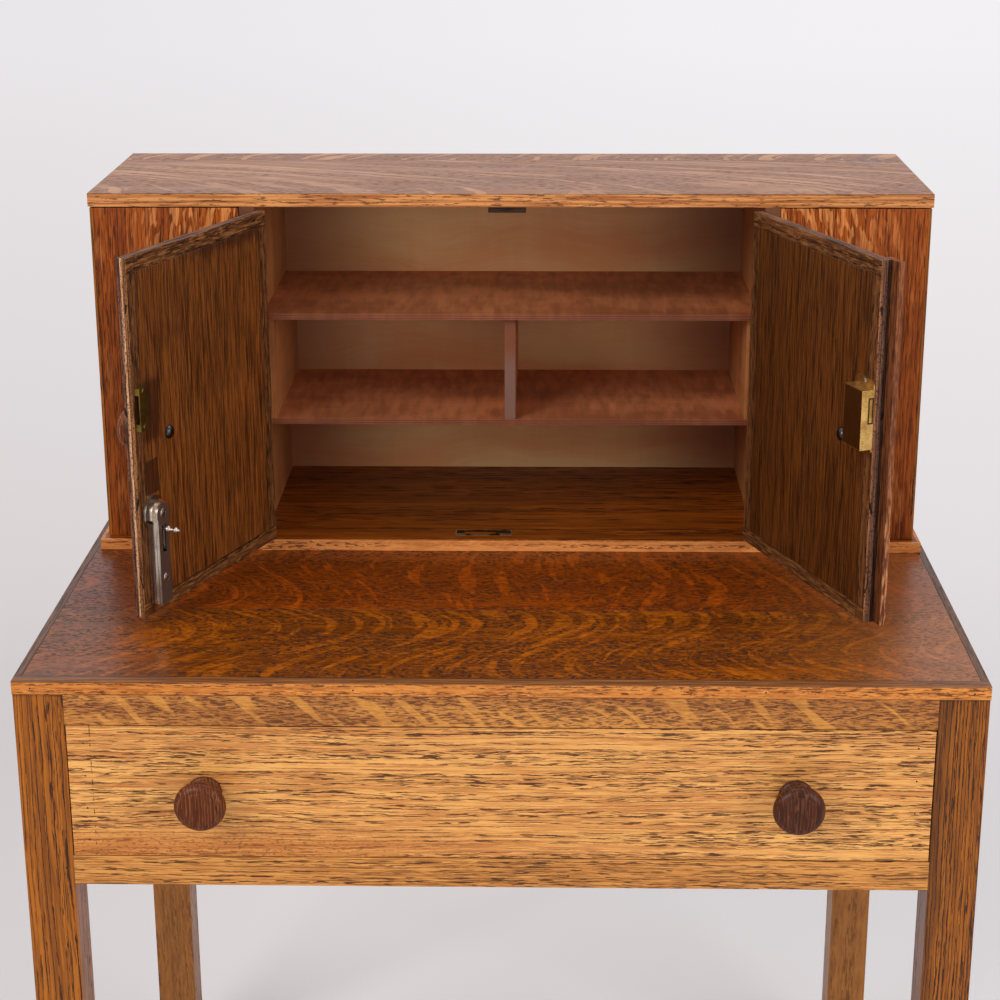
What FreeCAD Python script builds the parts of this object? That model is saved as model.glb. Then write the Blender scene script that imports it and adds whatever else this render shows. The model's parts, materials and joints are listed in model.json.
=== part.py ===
import FreeCAD, Part
import math
import os

os.makedirs("parts", exist_ok=True)

# Sizes in millimetres. X runs to the right, Y to the back, Z up from the floor.

# Table
table_width = 850.0
table_depth = 605.0
table_height = 750.0
top_thickness = 12.4
top_overhang = 0.5
top_joint_from_front = 179.0
front_lipping_width = 12.6
side_lipping_width = 7.0
leg_size = 43.7
foot_chamfer = 1.5
tenon_length = 16.0
tenon_shoulder = 4.0
tenon_thickness = 9.0

# Frame between the legs
top_rail_height = 28.6
top_rail_depth = 22.0
drawer_opening_height = 127.4
bottom_rail_height = 28.1
bottom_rail_depth = 36.0
apron_thickness = 18.0
apron_setback = 1.5
runner_height = 18.0
runner_inner_overlap = 7.5
guide_height = 18.0
stop_length = 30.0
stop_depth = 12.0
stop_height = 5.0
stop_from_centre = 150.0

# Drawer
drawer_end_gap = 1.0
drawer_face_gap = 1.0
drawer_slide_gap = 0.3
drawer_top_gap = 2.0
drawer_guide_gap = 0.8
drawer_front_thickness = 18.0
drawer_side_thickness = 10.0
drawer_side_inset = 10.5
drawer_side_housing = 5.0
drawer_rear_gap = 22.0
drawer_back_inset = 12.0
drawer_back_drop = 12.0
drawer_bottom_thickness = 5.0
drawer_bottom_raise = 8.0
drawer_bottom_tongue = 5.0
drawer_knob_share = 0.3059
drawer_knob_drop = 63.5
drawer_pins_per_end = 4

# Turned knobs
drawer_knob_radius = 22.7
door_knob_radius = 19.5
knob_stand = 38.0
knob_foot_share = 0.65
knob_outline_shares = (
    ((0.65, 0.0), (0.69, 0.06), (0.63, 0.12)),
    ((0.63, 0.12), (0.5, 0.33), (0.66, 0.57)),
    ((0.66, 0.57), (1.0, 0.8), (0.71, 0.963)),
    ((0.71, 0.963), (0.68, 0.963)),
    ((0.68, 0.963), (0.68, 0.98)),
)
knob_face_share = 0.68
knob_dome_share = 0.02
knob_screw_radius = 2.2
knob_screw_reach = 18.0
knob_screw_head_radius = 6.4
knob_screw_head_height = 3.2
screw_slot_width = 1.0
screw_slot_depth = 0.9

# Panel pins
pin_radius = 0.8
pin_length = 14.0
lipping_pin_shares = (-0.4808, -0.1492, 0.2714, 0.4828)
lipping_pin_drop = 6.6
rail_pin_share = 0.16
rail_pin_drop = 184.8
leg_pin_inset = 7.0
leg_pin_drop = 180.7

# Cabinet
cabinet_centre = 3.0
cabinet_end_setback = 14.8
cabinet_front_from_table_front = 357.6
base_thickness = 11.0
base_front_projection = 12.3
base_end_projection = 6.5
base_lipping = 4.0
cabinet_clear_height = 339.6
cabinet_top_thickness = 13.2
cabinet_top_end_overhang = 1.5
cabinet_top_front_overhang = 0.5
cabinet_top_rear_strip = 44.0
end_thickness = 12.0
front_panel_thickness = 12.0
front_panel_slit = 0.5
front_panel_top_gap = 1.2
corner_lipping = 3.5
partition_thickness = 14.5
side_bay_width = 161.2
back_thickness = 4.0

# Shelves behind the doors
shelf_thickness = 6.0
upper_shelf_top = 235.6
lower_shelf_top = 124.2
upper_shelf_setback = 35.0
lower_shelf_setback = 43.0
shelf_housing = 4.0
cheek_thickness = 10.0
divider_thickness = 11.0
stop_block_width = 37.0
stop_block_depth = 8.0
stop_block_height = 7.5
stop_block_shift = -2.0

# Doors, drawn shut and then turned to the open pose
door_thickness = 10.0
door_floor_gap = 1.0
door_top_gap = 2.6
door_meeting_gap = 0.8
door_lipping = 14.0
left_door_angle = 112.3
right_door_angle = 111.3
cover_strip_overlap = 12.0
cover_strip_thickness = 5.9
moving_gap = 0.4

# Hinges
hinge_gap = 1.2
hinge_height = 36.0
hinge_from_door_end = 2.0
hinge_leaf_thickness = 1.0
hinge_leaf_width = 8.0
hinge_knuckle_radius = 2.0
hinge_pin_radius = 1.0
hinge_pin_clearance = 0.05
hinge_axis_ahead = 2.4
hinge_knuckle_share = 0.34

# Door furniture, measured from the free edge and from the table top
knob_from_free_edge = 56.0
knob_above_table = 176.0
strike_from_free_edge = 1.9
strike_width = 12.0
strike_bottom = 190.5
strike_height = 40.0
strike_wall = 1.0
strike_end = 6.6
strike_screw_inset = 3.6
bolt_from_free_edge = 20.6
bolt_case_width = 19.6
bolt_case_bottom = 23.0
bolt_case_height = 102.5
bolt_case_depth = 12.0
bolt_case_face = 1.6
bolt_case_step = 0.6
bolt_arch_step = 3.1
bolt_arch_shoulder = 4.5
bolt_case_step_shares = (0.0, 0.3, 0.65)
bolt_case_hollow_width = 11.0
bolt_slot_width = 6.2
bolt_slot_bottom = 72.0
bolt_slot_top = 98.2
bolt_screws_above_table = (47.6, 109.6)
bolt_bar_width = 9.4
bolt_bar_thickness = 5.2
bolt_bar_raise = 1.6
bolt_bar_bottom = 24.0
bolt_bar_top = 104.0
bolt_bar_slot_width = 4.6
bolt_travel = 18.0
bolt_pull_above_table = 94.7
bolt_pull_stem_radius = 1.9
bolt_pull_reach = 15.4
bolt_pull_collar_radius = 3.3
bolt_pull_ball_radius = 2.9
bolt_pull_collar_share = 0.28
bolt_pull_ball_share = 0.8
bolt_pull_tip_radius = 1.2

# Lock on the right door
lock_width = 32.0
lock_height = 55.0
lock_depth = 12.5
lock_setback = 0.8
lock_wall = 1.2
lock_bottom = 177.0
lock_bolt_bottom = 202.0
lock_bolt_height = 21.4
lock_bolt_thickness = 2.6
lock_bolt_raise = 0.5
lock_bolt_length = 22.0
lock_bolt_clearance = 0.35
keyhole_from_edge = 19.6
keyhole_above_table = 192.0
keyhole_radius = 2.2
keyhole_slot_width = 2.4
keyhole_slot_drop = 6.0
keyhole_plate_radius = 4.6
keyhole_plate_thickness = 1.2
drill_pin_radius = 1.2
lock_plate_thickness = 1.4
lock_plate_above = 8.0
lock_plate_below = 6.5
lock_plate_corner = 4.0
lock_plate_margin = 1.0

# Floor keep
keep_left_reach = 34.5
keep_right_reach = 23.0
keep_front_setback = 6.5
keep_depth = 16.5
keep_thickness = 1.2
keep_slot_left_reach = 26.0
keep_slot_right_reach = 6.5
keep_slot_depth = 8.6
keep_screw_inset = 4.2
small_screw_radius = 1.3
small_screw_head_radius = 2.6
small_screw_top_share = 0.62
small_screw_head_height = 0.9
small_screw_reach = 6.0

# One overrun serves every cut
overrun = 5.0

X = FreeCAD.Vector(1, 0, 0)
Y = FreeCAD.Vector(0, 1, 0)
Z = FreeCAD.Vector(0, 0, 1)

# Levels and faces that follow from the sizes
front = (knob_stand - top_overhang - table_depth) / 2
back = front + table_depth
half_width = table_width / 2
tabletop = table_height
under_top = table_height - top_thickness
leg_front = front + top_overhang
leg_back = back - top_overhang
leg_outer = half_width - top_overhang
leg_inner = leg_outer - leg_size
opening_top = under_top - top_rail_height
opening_bottom = opening_top - drawer_opening_height
frame_bottom = opening_bottom - bottom_rail_height
apron_outer = leg_outer - apron_setback
apron_inner = apron_outer - apron_thickness
rear_apron_back = leg_back - apron_setback
rear_apron_front = rear_apron_back - apron_thickness
drawer_length = rear_apron_front - drawer_rear_gap - leg_front
drawer_side_outer = leg_inner - drawer_side_inset
drawer_side_inner = drawer_side_outer - drawer_side_thickness
guide_inner = drawer_side_outer + drawer_guide_gap
runner_inner = drawer_side_inner - runner_inner_overlap

cabinet_half = half_width - cabinet_end_setback
opening_half_width = cabinet_half - side_bay_width
cabinet_front = front + cabinet_front_from_table_front
cabinet_floor = tabletop + base_thickness
cabinet_ceiling = cabinet_floor + cabinet_clear_height
back_panel_front = back - back_thickness
partition_outer = opening_half_width + partition_thickness

door_bottom = cabinet_floor + door_floor_gap
door_top = cabinet_ceiling - door_top_gap
door_hinge_edge = opening_half_width - hinge_gap
door_inner_face = cabinet_front + door_thickness
hinge_axis_x = opening_half_width - hinge_gap / 2
hinge_axis_y = cabinet_front - hinge_axis_ahead


def block(x0, x1, y0, y1, z0, z1):
    corner = FreeCAD.Vector(min(x0, x1), min(y0, y1), min(z0, z1))
    return Part.makeBox(abs(x1 - x0), abs(y1 - y0), abs(z1 - z0), corner)


def rod(radius, start, direction, length):
    return Part.makeCylinder(radius, length, start, direction)


def mirrored(shape, plane_x):
    return shape.mirror(FreeCAD.Vector(plane_x, 0, 0), X)


def save(name, shapes):
    solids = [solid for shape in shapes for solid in shape.Solids]
    Part.makeCompound(solids).exportStep("parts/" + name + ".step")


def tenon(x0, x1, y0, y1, z0, z1):
    return block(x0, x1, y0, y1, z0 + tenon_shoulder, z1 - tenon_shoulder)


# Legs and frame

def rails():
    """Front rails and aprons, each with the tenons that enter the legs."""
    far = leg_inner + tenon_length
    pieces = {}
    for name, depth, low, high in (
        ("front_top_rail", top_rail_depth, opening_top, under_top),
        ("front_bottom_rail", bottom_rail_depth, frame_bottom, opening_bottom),
    ):
        body = block(-leg_inner, leg_inner, leg_front, leg_front + depth, low, high)
        middle = leg_front + top_rail_depth / 2
        tongue = tenon(-far, far, middle - tenon_thickness / 2, middle + tenon_thickness / 2, low, high)
        pieces[name] = body.fuse(tongue).removeSplitter()
    body = block(-leg_inner, leg_inner, rear_apron_front, rear_apron_back, frame_bottom, under_top)
    middle = (rear_apron_front + rear_apron_back) / 2
    tongue = tenon(-far, far, middle - tenon_thickness / 2, middle + tenon_thickness / 2,
                   frame_bottom, under_top)
    pieces["rear_apron"] = body.fuse(tongue).removeSplitter()
    near_y = leg_front + leg_size
    far_y = leg_back - leg_size
    body = block(apron_inner, apron_outer, near_y, far_y, frame_bottom, under_top)
    middle = (apron_inner + apron_outer) / 2
    tongue = tenon(middle - tenon_thickness / 2, middle + tenon_thickness / 2,
                   near_y - tenon_length, far_y + tenon_length, frame_bottom, under_top)
    side = body.fuse(tongue).removeSplitter()
    pieces["side_apron_right"] = side
    pieces["side_apron_left"] = mirrored(side, 0)
    return pieces


def leg(side, at_front, frame):
    x0 = side * leg_inner
    x1 = side * leg_outer
    y0 = leg_front if at_front else leg_back - leg_size
    post = block(x0, x1, y0, y0 + leg_size, 0, under_top)
    foot = [edge for edge in post.Edges if max(vertex.Z for vertex in edge.Vertexes) < foot_chamfer]
    post = post.makeChamfer(foot_chamfer, foot)
    return post.cut(Part.makeCompound(list(frame.values())))


def runners():
    near = leg_front + bottom_rail_depth
    leg_near = leg_front + leg_size
    leg_far = leg_back - leg_size
    inner = block(runner_inner, leg_inner, near, rear_apron_front,
                  opening_bottom - runner_height, opening_bottom)
    outer = block(leg_inner, apron_inner, leg_near, leg_far,
                  opening_bottom - runner_height, opening_bottom)
    runner = inner.fuse(outer).removeSplitter()
    low = opening_bottom
    guide = block(guide_inner, leg_inner, near, rear_apron_front, low, low + guide_height)
    guide = guide.fuse(block(leg_inner, apron_inner, leg_near, leg_far, low, low + guide_height))
    guide = guide.removeSplitter()
    return [runner, mirrored(runner, 0), guide, mirrored(guide, 0)]


def kickers():
    inner = block(runner_inner, leg_inner, leg_front + top_rail_depth, rear_apron_front,
                  opening_top, under_top)
    outer = block(leg_inner, apron_inner, leg_front + leg_size, leg_back - leg_size,
                  opening_top, under_top)
    kicker = inner.fuse(outer).removeSplitter()
    return [kicker, mirrored(kicker, 0)]


def drawer_stops():
    y0 = leg_front + drawer_front_thickness + moving_gap
    x0 = stop_from_centre - stop_length / 2
    piece = block(x0, x0 + stop_length, y0, y0 + stop_depth, opening_bottom, opening_bottom + stop_height)
    return [piece, mirrored(piece, 0)]


# Table top

def table_top():
    inner = half_width - side_lipping_width
    joint = front + top_joint_from_front
    front_board = block(-inner, inner, front + front_lipping_width, joint, under_top, tabletop)
    rear_board = block(-inner, inner, joint, back - front_lipping_width, under_top, tabletop)
    front_strip = block(-half_width, half_width, front, front + front_lipping_width, under_top, tabletop)
    rear_strip = block(-half_width, half_width, back - front_lipping_width, back, under_top, tabletop)
    side_strip = block(inner, half_width, front + front_lipping_width, back - front_lipping_width,
                       under_top, tabletop)
    return front_board, rear_board, [front_strip, rear_strip, side_strip, mirrored(side_strip, 0)]


def panel_pins():
    pins = []
    for share in lipping_pin_shares:
        start = FreeCAD.Vector(table_width * share, front, tabletop - lipping_pin_drop)
        pins.append(rod(pin_radius, start, Y, pin_length))
    rail_place = leg_inner * rail_pin_share
    leg_place = -leg_inner - leg_pin_inset
    for place, drop in ((rail_place, rail_pin_drop), (leg_place, leg_pin_drop)):
        start = FreeCAD.Vector(place, leg_front, tabletop - drop)
        pins.append(rod(pin_radius, start, Y, pin_length))
    return pins


# Turned knobs, drawn along Z from the face they stand on

def turned_knob(radius):
    """Foot ring, cove, full round rim and a slightly domed face inside a fine step."""
    edges = []
    for shares in knob_outline_shares:
        points = [FreeCAD.Vector(radius * x, 0, knob_stand * z) for x, z in shares]
        if len(points) == 3:
            edges.append(Part.Arc(points[0], points[1], points[2]).toShape())
        else:
            edges.append(Part.makeLine(points[0], points[1]))
    face = radius * knob_face_share
    rise = knob_stand * knob_dome_share
    dome = (face ** 2 + rise ** 2) / (rise + rise)
    middle = knob_stand - dome + math.sqrt(dome ** 2 - (face / 2) ** 2)
    edges.append(Part.Arc(FreeCAD.Vector(face, 0, knob_stand - rise), FreeCAD.Vector(face / 2, 0, middle),
                          FreeCAD.Vector(0, 0, knob_stand)).toShape())
    core = [(0, knob_stand), (0, knob_screw_reach), (knob_screw_radius, knob_screw_reach),
            (knob_screw_radius, 0), (radius * knob_foot_share, 0)]
    core = [FreeCAD.Vector(x, 0, z) for x, z in core]
    for start, end in zip(core, core[1:]):
        edges.append(Part.makeLine(start, end))
    return Part.Face(Part.Wire(edges)).revolve(FreeCAD.Vector(0, 0, 0), Z, 360)


def knob_screw(thickness):
    """Screw from behind a panel into the knob, with a domed slotted head."""
    shank = Part.makeCylinder(knob_screw_radius, knob_screw_reach + thickness,
                              FreeCAD.Vector(0, 0, -thickness))
    dome_radius = (knob_screw_head_radius ** 2 + knob_screw_head_height ** 2) / (
        knob_screw_head_height + knob_screw_head_height)
    dome = Part.makeSphere(dome_radius, FreeCAD.Vector(0, 0, dome_radius - knob_screw_head_height - thickness))
    below = Part.makeBox(dome_radius * 2, dome_radius * 2, dome_radius * 2,
                         FreeCAD.Vector(-dome_radius, -dome_radius, -thickness - dome_radius * 2))
    head = dome.common(below)
    slot = block(-knob_screw_head_radius, knob_screw_head_radius, -screw_slot_width / 2,
                 screw_slot_width / 2, -thickness - knob_screw_head_height - overrun,
                 -thickness - knob_screw_head_height + screw_slot_depth)
    return shank.fuse(head).cut(slot).removeSplitter()


def facing_front(shape, x, y, z):
    """Turns a shape drawn along Z so that it stands out towards the front at a place."""
    turned = shape.copy()
    turned.rotate(FreeCAD.Vector(0, 0, 0), X, 90)
    turned.translate(FreeCAD.Vector(x, y, z))
    return turned


# Drawer

def drawer():
    face = leg_front
    behind = face + drawer_front_thickness
    low = opening_bottom + drawer_slide_gap
    high = opening_top - drawer_top_gap
    half = leg_inner - drawer_end_gap
    far = face + drawer_length
    inset = drawer_side_inner
    outer = drawer_side_outer
    front_piece = block(-half, half, face, behind, opening_bottom + drawer_face_gap,
                        opening_top - drawer_face_gap)
    side = block(inset, outer, behind - drawer_side_housing, far, low, high)
    bottom_low = low + drawer_bottom_raise
    bottom_high = bottom_low + drawer_bottom_thickness
    reach = inset + drawer_bottom_tongue
    bottom = block(-reach, reach, behind - drawer_bottom_tongue, far - drawer_back_inset / 2,
                   bottom_low, bottom_high)
    sides = [side.cut(bottom), mirrored(side, 0).cut(bottom)]
    rear_y = far - drawer_back_inset
    rear = block(-inset, inset, rear_y - drawer_side_thickness, rear_y, bottom_high, high - drawer_back_drop)
    pins = []
    step = (high - low) / drawer_pins_per_end
    for side_x in (-(inset + outer) / 2, (inset + outer) / 2):
        for index in range(drawer_pins_per_end):
            start = FreeCAD.Vector(side_x, face, low + step * (index + 0.5))
            pins.append(rod(pin_radius, start, Y, drawer_front_thickness + pin_length))
    holes = Part.makeCompound(pins)
    knobs = []
    screws = []
    for share in (-drawer_knob_share, drawer_knob_share):
        x = table_width * share
        z = opening_top - drawer_knob_drop
        knobs.append(facing_front(turned_knob(drawer_knob_radius), x, face, z))
        screws.append(facing_front(knob_screw(drawer_front_thickness), x, face, z))
    front_piece = front_piece.cut(Part.makeCompound([side, mirrored(side, 0)])).cut(bottom)
    front_piece = front_piece.cut(holes).cut(Part.makeCompound(screws))
    sides = [piece.cut(holes) for piece in sides]
    return {
        "drawer_front": [front_piece],
        "drawer_side_right": [sides[0]],
        "drawer_side_left": [sides[1]],
        "drawer_back": [rear],
        "drawer_bottom": [bottom],
        "drawer_knobs": knobs,
        "drawer_knob_screws": screws,
        "drawer_front_pins": pins,
    }


# Cabinet carcass

def small_screw():
    """Countersunk screw drawn along Z, its head standing on z = 0."""
    head = Part.makeCone(small_screw_head_radius, small_screw_head_radius * small_screw_top_share,
                         small_screw_head_height)
    shank = Part.makeCylinder(small_screw_radius, small_screw_reach + small_screw_head_height,
                              FreeCAD.Vector(0, 0, -small_screw_reach))
    slot = block(-small_screw_head_radius, small_screw_head_radius, -screw_slot_width / 2,
                 screw_slot_width / 2, small_screw_head_height / 2, small_screw_head_height + overrun)
    return head.fuse(shank).cut(slot).removeSplitter()


def keep():
    """Plate let into the cabinet floor, with the slot that the bolt drops into."""
    y0 = cabinet_front + keep_front_setback
    y1 = y0 + keep_depth
    middle = (y0 + y1) / 2
    bolt_x = cabinet_centre - door_meeting_gap / 2 - bolt_from_free_edge
    left = bolt_x - keep_left_reach
    right = bolt_x + keep_right_reach
    plate = block(left, right, y0, y1, cabinet_floor - keep_thickness, cabinet_floor)
    slot = block(bolt_x - keep_slot_left_reach, bolt_x + keep_slot_right_reach, middle - keep_slot_depth / 2,
                 middle + keep_slot_depth / 2, tabletop + door_floor_gap, cabinet_floor)
    screws = []
    for x in (left + keep_screw_inset, right - keep_screw_inset):
        screw = small_screw()
        screw.translate(FreeCAD.Vector(x, middle, cabinet_floor - small_screw_head_height))
        screws.append(screw)
    recess = plate.copy()
    plate = plate.cut(slot).cut(Part.makeCompound(screws))
    return plate, screws, recess.fuse(slot).fuse(Part.makeCompound(screws))


def base():
    x0 = cabinet_centre - cabinet_half - base_end_projection
    x1 = cabinet_centre + cabinet_half + base_end_projection
    y0 = cabinet_front - base_front_projection
    front_strip = block(x0, x1, y0, y0 + base_lipping, tabletop, cabinet_floor)
    end_strip = block(x1 - base_lipping, x1, y0 + base_lipping, back, tabletop, cabinet_floor)
    board = block(x0 + base_lipping, x1 - base_lipping, y0 + base_lipping, back, tabletop, cabinet_floor)
    return board, [front_strip, end_strip, mirrored(end_strip, cabinet_centre)]


def cabinet_sides():
    centre = cabinet_centre
    end_outer = centre + cabinet_half
    end = block(end_outer - end_thickness, end_outer, cabinet_front + front_panel_thickness,
                back_panel_front, cabinet_floor, cabinet_ceiling)
    panel_top = cabinet_ceiling - front_panel_top_gap
    strip = block(end_outer - corner_lipping, end_outer, cabinet_front,
                  cabinet_front + front_panel_thickness, cabinet_floor, panel_top)
    panel = block(centre + partition_outer + front_panel_slit, end_outer - corner_lipping,
                  cabinet_front, cabinet_front + front_panel_thickness, cabinet_floor, panel_top)
    partition = block(centre + opening_half_width, centre + partition_outer, cabinet_front,
                      back_panel_front, cabinet_floor, cabinet_ceiling)
    return end, strip, panel, partition


def shelves():
    centre = cabinet_centre
    half = opening_half_width
    upper_top = tabletop + upper_shelf_top
    lower_top = tabletop + lower_shelf_top
    upper = block(centre - half, centre + half, cabinet_front + upper_shelf_setback, back_panel_front,
                  upper_top - shelf_thickness, upper_top)
    reach = half + shelf_housing
    lower = block(centre - reach, centre + reach, cabinet_front + lower_shelf_setback, back_panel_front,
                  lower_top - shelf_thickness, lower_top)
    cheek = block(centre + half - cheek_thickness, centre + half, cabinet_front + lower_shelf_setback,
                  back_panel_front, lower_top, upper_top - shelf_thickness)
    divider = block(centre - divider_thickness / 2, centre + divider_thickness / 2,
                    cabinet_front + lower_shelf_setback, back_panel_front,
                    lower_top, upper_top - shelf_thickness)
    return upper, lower, cheek, divider


def stop_block():
    x0 = cabinet_centre + stop_block_shift - stop_block_width / 2
    y0 = door_inner_face + moving_gap
    return block(x0, x0 + stop_block_width, y0, y0 + stop_block_depth,
                 cabinet_ceiling - stop_block_height, cabinet_ceiling)


def cabinet_top():
    x0 = cabinet_centre - cabinet_half - cabinet_top_end_overhang
    x1 = cabinet_centre + cabinet_half + cabinet_top_end_overhang
    y0 = cabinet_front - cabinet_top_front_overhang
    joint = back - cabinet_top_rear_strip
    high = cabinet_ceiling + cabinet_top_thickness
    return (block(x0, x1, y0, joint, cabinet_ceiling, high),
            block(x0, x1, joint, back, cabinet_ceiling, high))


# Hinges, drawn for the right door shut

def hinge_levels():
    top = door_top - hinge_from_door_end - hinge_height
    return (door_bottom + hinge_from_door_end, top)


def hinge_parts(low):
    """Frame leaf, door leaf and pin of one hinge, and the recess each leaf needs."""
    x = cabinet_centre + hinge_axis_x
    y = hinge_axis_y
    axis = FreeCAD.Vector(x, y, low)
    high = low + hinge_height
    share = hinge_height * hinge_knuckle_share
    door_low = low + share
    door_high = high - share
    far = y + hinge_axis_ahead + hinge_leaf_width
    half_gap = moving_gap / 2
    frame_leaf = block(x + half_gap, x + half_gap + hinge_leaf_thickness, y, far, low, high)
    door_leaf = block(x - half_gap - hinge_leaf_thickness, x - half_gap, y, far, low, high)
    frame_recess = frame_leaf.copy()
    door_recess = door_leaf.copy()
    free = hinge_knuckle_radius + moving_gap
    at = FreeCAD.Vector(x, y, door_low - moving_gap)
    frame_leaf = frame_leaf.cut(rod(free, at, Z, door_high - door_low + moving_gap * 2))
    for start in (low - moving_gap, door_high):
        at = FreeCAD.Vector(x, y, start)
        door_leaf = door_leaf.cut(rod(free, at, Z, share + moving_gap))
    outer_knuckles = []
    for start in (low, door_high + moving_gap):
        outer_knuckles.append(rod(hinge_knuckle_radius, FreeCAD.Vector(x, y, start), Z, share - moving_gap))
    pin = rod(hinge_pin_radius, axis, Z, hinge_height)
    frame_leaf = frame_leaf.fuse(outer_knuckles).cut(pin).removeSplitter()
    knuckle = rod(hinge_knuckle_radius, FreeCAD.Vector(x, y, door_low), Z, door_high - door_low)
    bore = rod(hinge_pin_radius + hinge_pin_clearance, axis, Z, hinge_height)
    door_leaf = door_leaf.fuse(knuckle).cut(bore).removeSplitter()
    return frame_leaf, door_leaf, pin, frame_recess, door_recess


# Doors, drawn as the right one shut; the left one is its mirror image

def door_pieces():
    x0 = cabinet_centre + door_meeting_gap / 2
    x1 = cabinet_centre + door_hinge_edge
    y0 = cabinet_front
    y1 = door_inner_face
    edge = door_lipping
    panel = block(x0 + edge, x1 - edge, y0, y1, door_bottom + edge, door_top - edge)
    strips = [
        block(x0, x0 + edge, y0, y1, door_bottom, door_top),
        block(x1 - edge, x1, y0, y1, door_bottom, door_top),
        block(x0 + edge, x1 - edge, y0, y1, door_top - edge, door_top),
        block(x0 + edge, x1 - edge, y0, y1, door_bottom, door_bottom + edge),
    ]
    return panel, strips


def along(distance):
    """Place on the shut right door, measured from its free edge."""
    return cabinet_centre + door_meeting_gap / 2 + distance


def cover_strip():
    free = cabinet_centre + door_meeting_gap / 2
    full = block(free, free + cover_strip_overlap, cabinet_front - cover_strip_thickness,
                 cabinet_front, door_bottom, door_top)
    lip = block(free - cover_strip_overlap, free, cabinet_front - cover_strip_thickness,
                cabinet_front - moving_gap, door_bottom, door_top)
    return full.fuse(lip).removeSplitter()


def screw_into_door(x, raise_height, z):
    screw = small_screw()
    screw.rotate(FreeCAD.Vector(0, 0, 0), X, -90)
    screw.translate(FreeCAD.Vector(x, door_inner_face + raise_height, z))
    return screw


def strike_plate():
    """Bridge-shaped plate: the lock bolt passes under its middle."""
    x0 = along(strike_from_free_edge)
    x1 = x0 + strike_width
    low = tabletop + strike_bottom
    high = low + strike_height
    raised = lock_plate_thickness + lock_bolt_raise + lock_bolt_thickness + lock_bolt_clearance
    outer = block(x0, x1, door_inner_face, door_inner_face + raised + strike_wall, low, high)
    channel = block(x0 - overrun, x1 + overrun, door_inner_face, door_inner_face + raised,
                    low + strike_end, high - strike_end)
    screws = []
    for z in (low + strike_screw_inset, high - strike_screw_inset):
        screws.append(screw_into_door((x0 + x1) / 2, raised + strike_wall, z))
    return outer.cut(channel).cut(Part.makeCompound(screws)), screws


def arched(half, y0, y1, low, high, centre):
    """Upright slab with a half-round top."""
    slab = block(centre - half, centre + half, y0, y1, low, high - half)
    return slab.fuse(rod(half, FreeCAD.Vector(centre, y0, high - half), Y, y1 - y0)).removeSplitter()


def shouldered(half, arch, y0, y1, low, middle, centre):
    """Upright slab whose top widens at a shoulder into a larger half-round."""
    crown = arched(arch, y0, y1, middle - bolt_arch_shoulder, middle + arch, centre)
    return crown.fuse(block(centre - half, centre + half, y0, y1, low, middle)).removeSplitter()


def bolt_case():
    """Cover with an arched top and stepped edges; the bar runs inside it, the pull in its slot."""
    centre = along(bolt_from_free_edge)
    half = bolt_case_width / 2
    low = tabletop + bolt_case_bottom
    middle = tabletop + bolt_screws_above_table[1]
    arch = low + bolt_case_height - middle
    y1 = door_inner_face + bolt_case_depth
    steps = []
    for index, share in enumerate(bolt_case_step_shares):
        y0 = door_inner_face + bolt_case_depth * share
        steps.append(shouldered(half - bolt_case_step * index, arch - bolt_arch_step * index,
                                y0, y1, low, middle, centre))
    body = steps[0]
    for index, step in enumerate(steps[1:]):
        y0 = door_inner_face + bolt_case_depth * bolt_case_step_shares[index + 1]
        around = block(centre - arch, centre + arch, y0, y1, low, middle + arch)
        body = body.cut(around.cut(step))
    hollow_half = bolt_case_hollow_width / 2
    hollow_top = middle + hollow_half
    hollow = arched(hollow_half, door_inner_face, y1 - bolt_case_face, low - overrun, hollow_top, centre)
    slot = block(centre - bolt_slot_width / 2, centre + bolt_slot_width / 2, door_inner_face, y1 + overrun,
                 tabletop + bolt_slot_bottom, tabletop + bolt_slot_top)
    body = body.cut(hollow).cut(slot).removeSplitter()
    screws = []
    for height in bolt_screws_above_table:
        screw = screw_into_door(centre, bolt_case_depth, tabletop + height)
        at = FreeCAD.Vector(centre, door_inner_face, tabletop + height)
        post = rod(small_screw_radius, at, Y, bolt_case_depth)
        screws.append(screw.fuse(post).removeSplitter())
    return body.cut(Part.makeCompound(screws)), screws


def bolt_slide():
    """Bar with its slot around the lower screw, and the turned pull."""
    centre = along(bolt_from_free_edge)
    y0 = door_inner_face + bolt_bar_raise
    y1 = y0 + bolt_bar_thickness
    bar = block(centre - bolt_bar_width / 2, centre + bolt_bar_width / 2, y0, y1,
                tabletop + bolt_bar_bottom, tabletop + bolt_bar_top)
    slot_half = bolt_bar_slot_width / 2
    screw_z = tabletop + bolt_screws_above_table[0]
    slot = block(centre - slot_half, centre + slot_half, y0 - overrun, y1 + overrun,
                 screw_z - slot_half, screw_z + slot_half + bolt_travel)
    z = tabletop + bolt_pull_above_table
    face = door_inner_face + bolt_case_depth
    stem_length = face - y0 + bolt_pull_reach * bolt_pull_ball_share
    stem = rod(bolt_pull_stem_radius, FreeCAD.Vector(centre, y0, z), Y, stem_length)
    collar_at = face + bolt_pull_reach * bolt_pull_collar_share
    collar = Part.makeSphere(bolt_pull_collar_radius, FreeCAD.Vector(centre, collar_at, z))
    ball_at = face + bolt_pull_reach * bolt_pull_ball_share
    ball = Part.makeSphere(bolt_pull_ball_radius, FreeCAD.Vector(centre, ball_at, z))
    tip = Part.makeSphere(bolt_pull_tip_radius, FreeCAD.Vector(centre, face + bolt_pull_reach, z))
    return bar.cut(slot).fuse([stem, collar, ball, tip]).removeSplitter()


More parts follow.
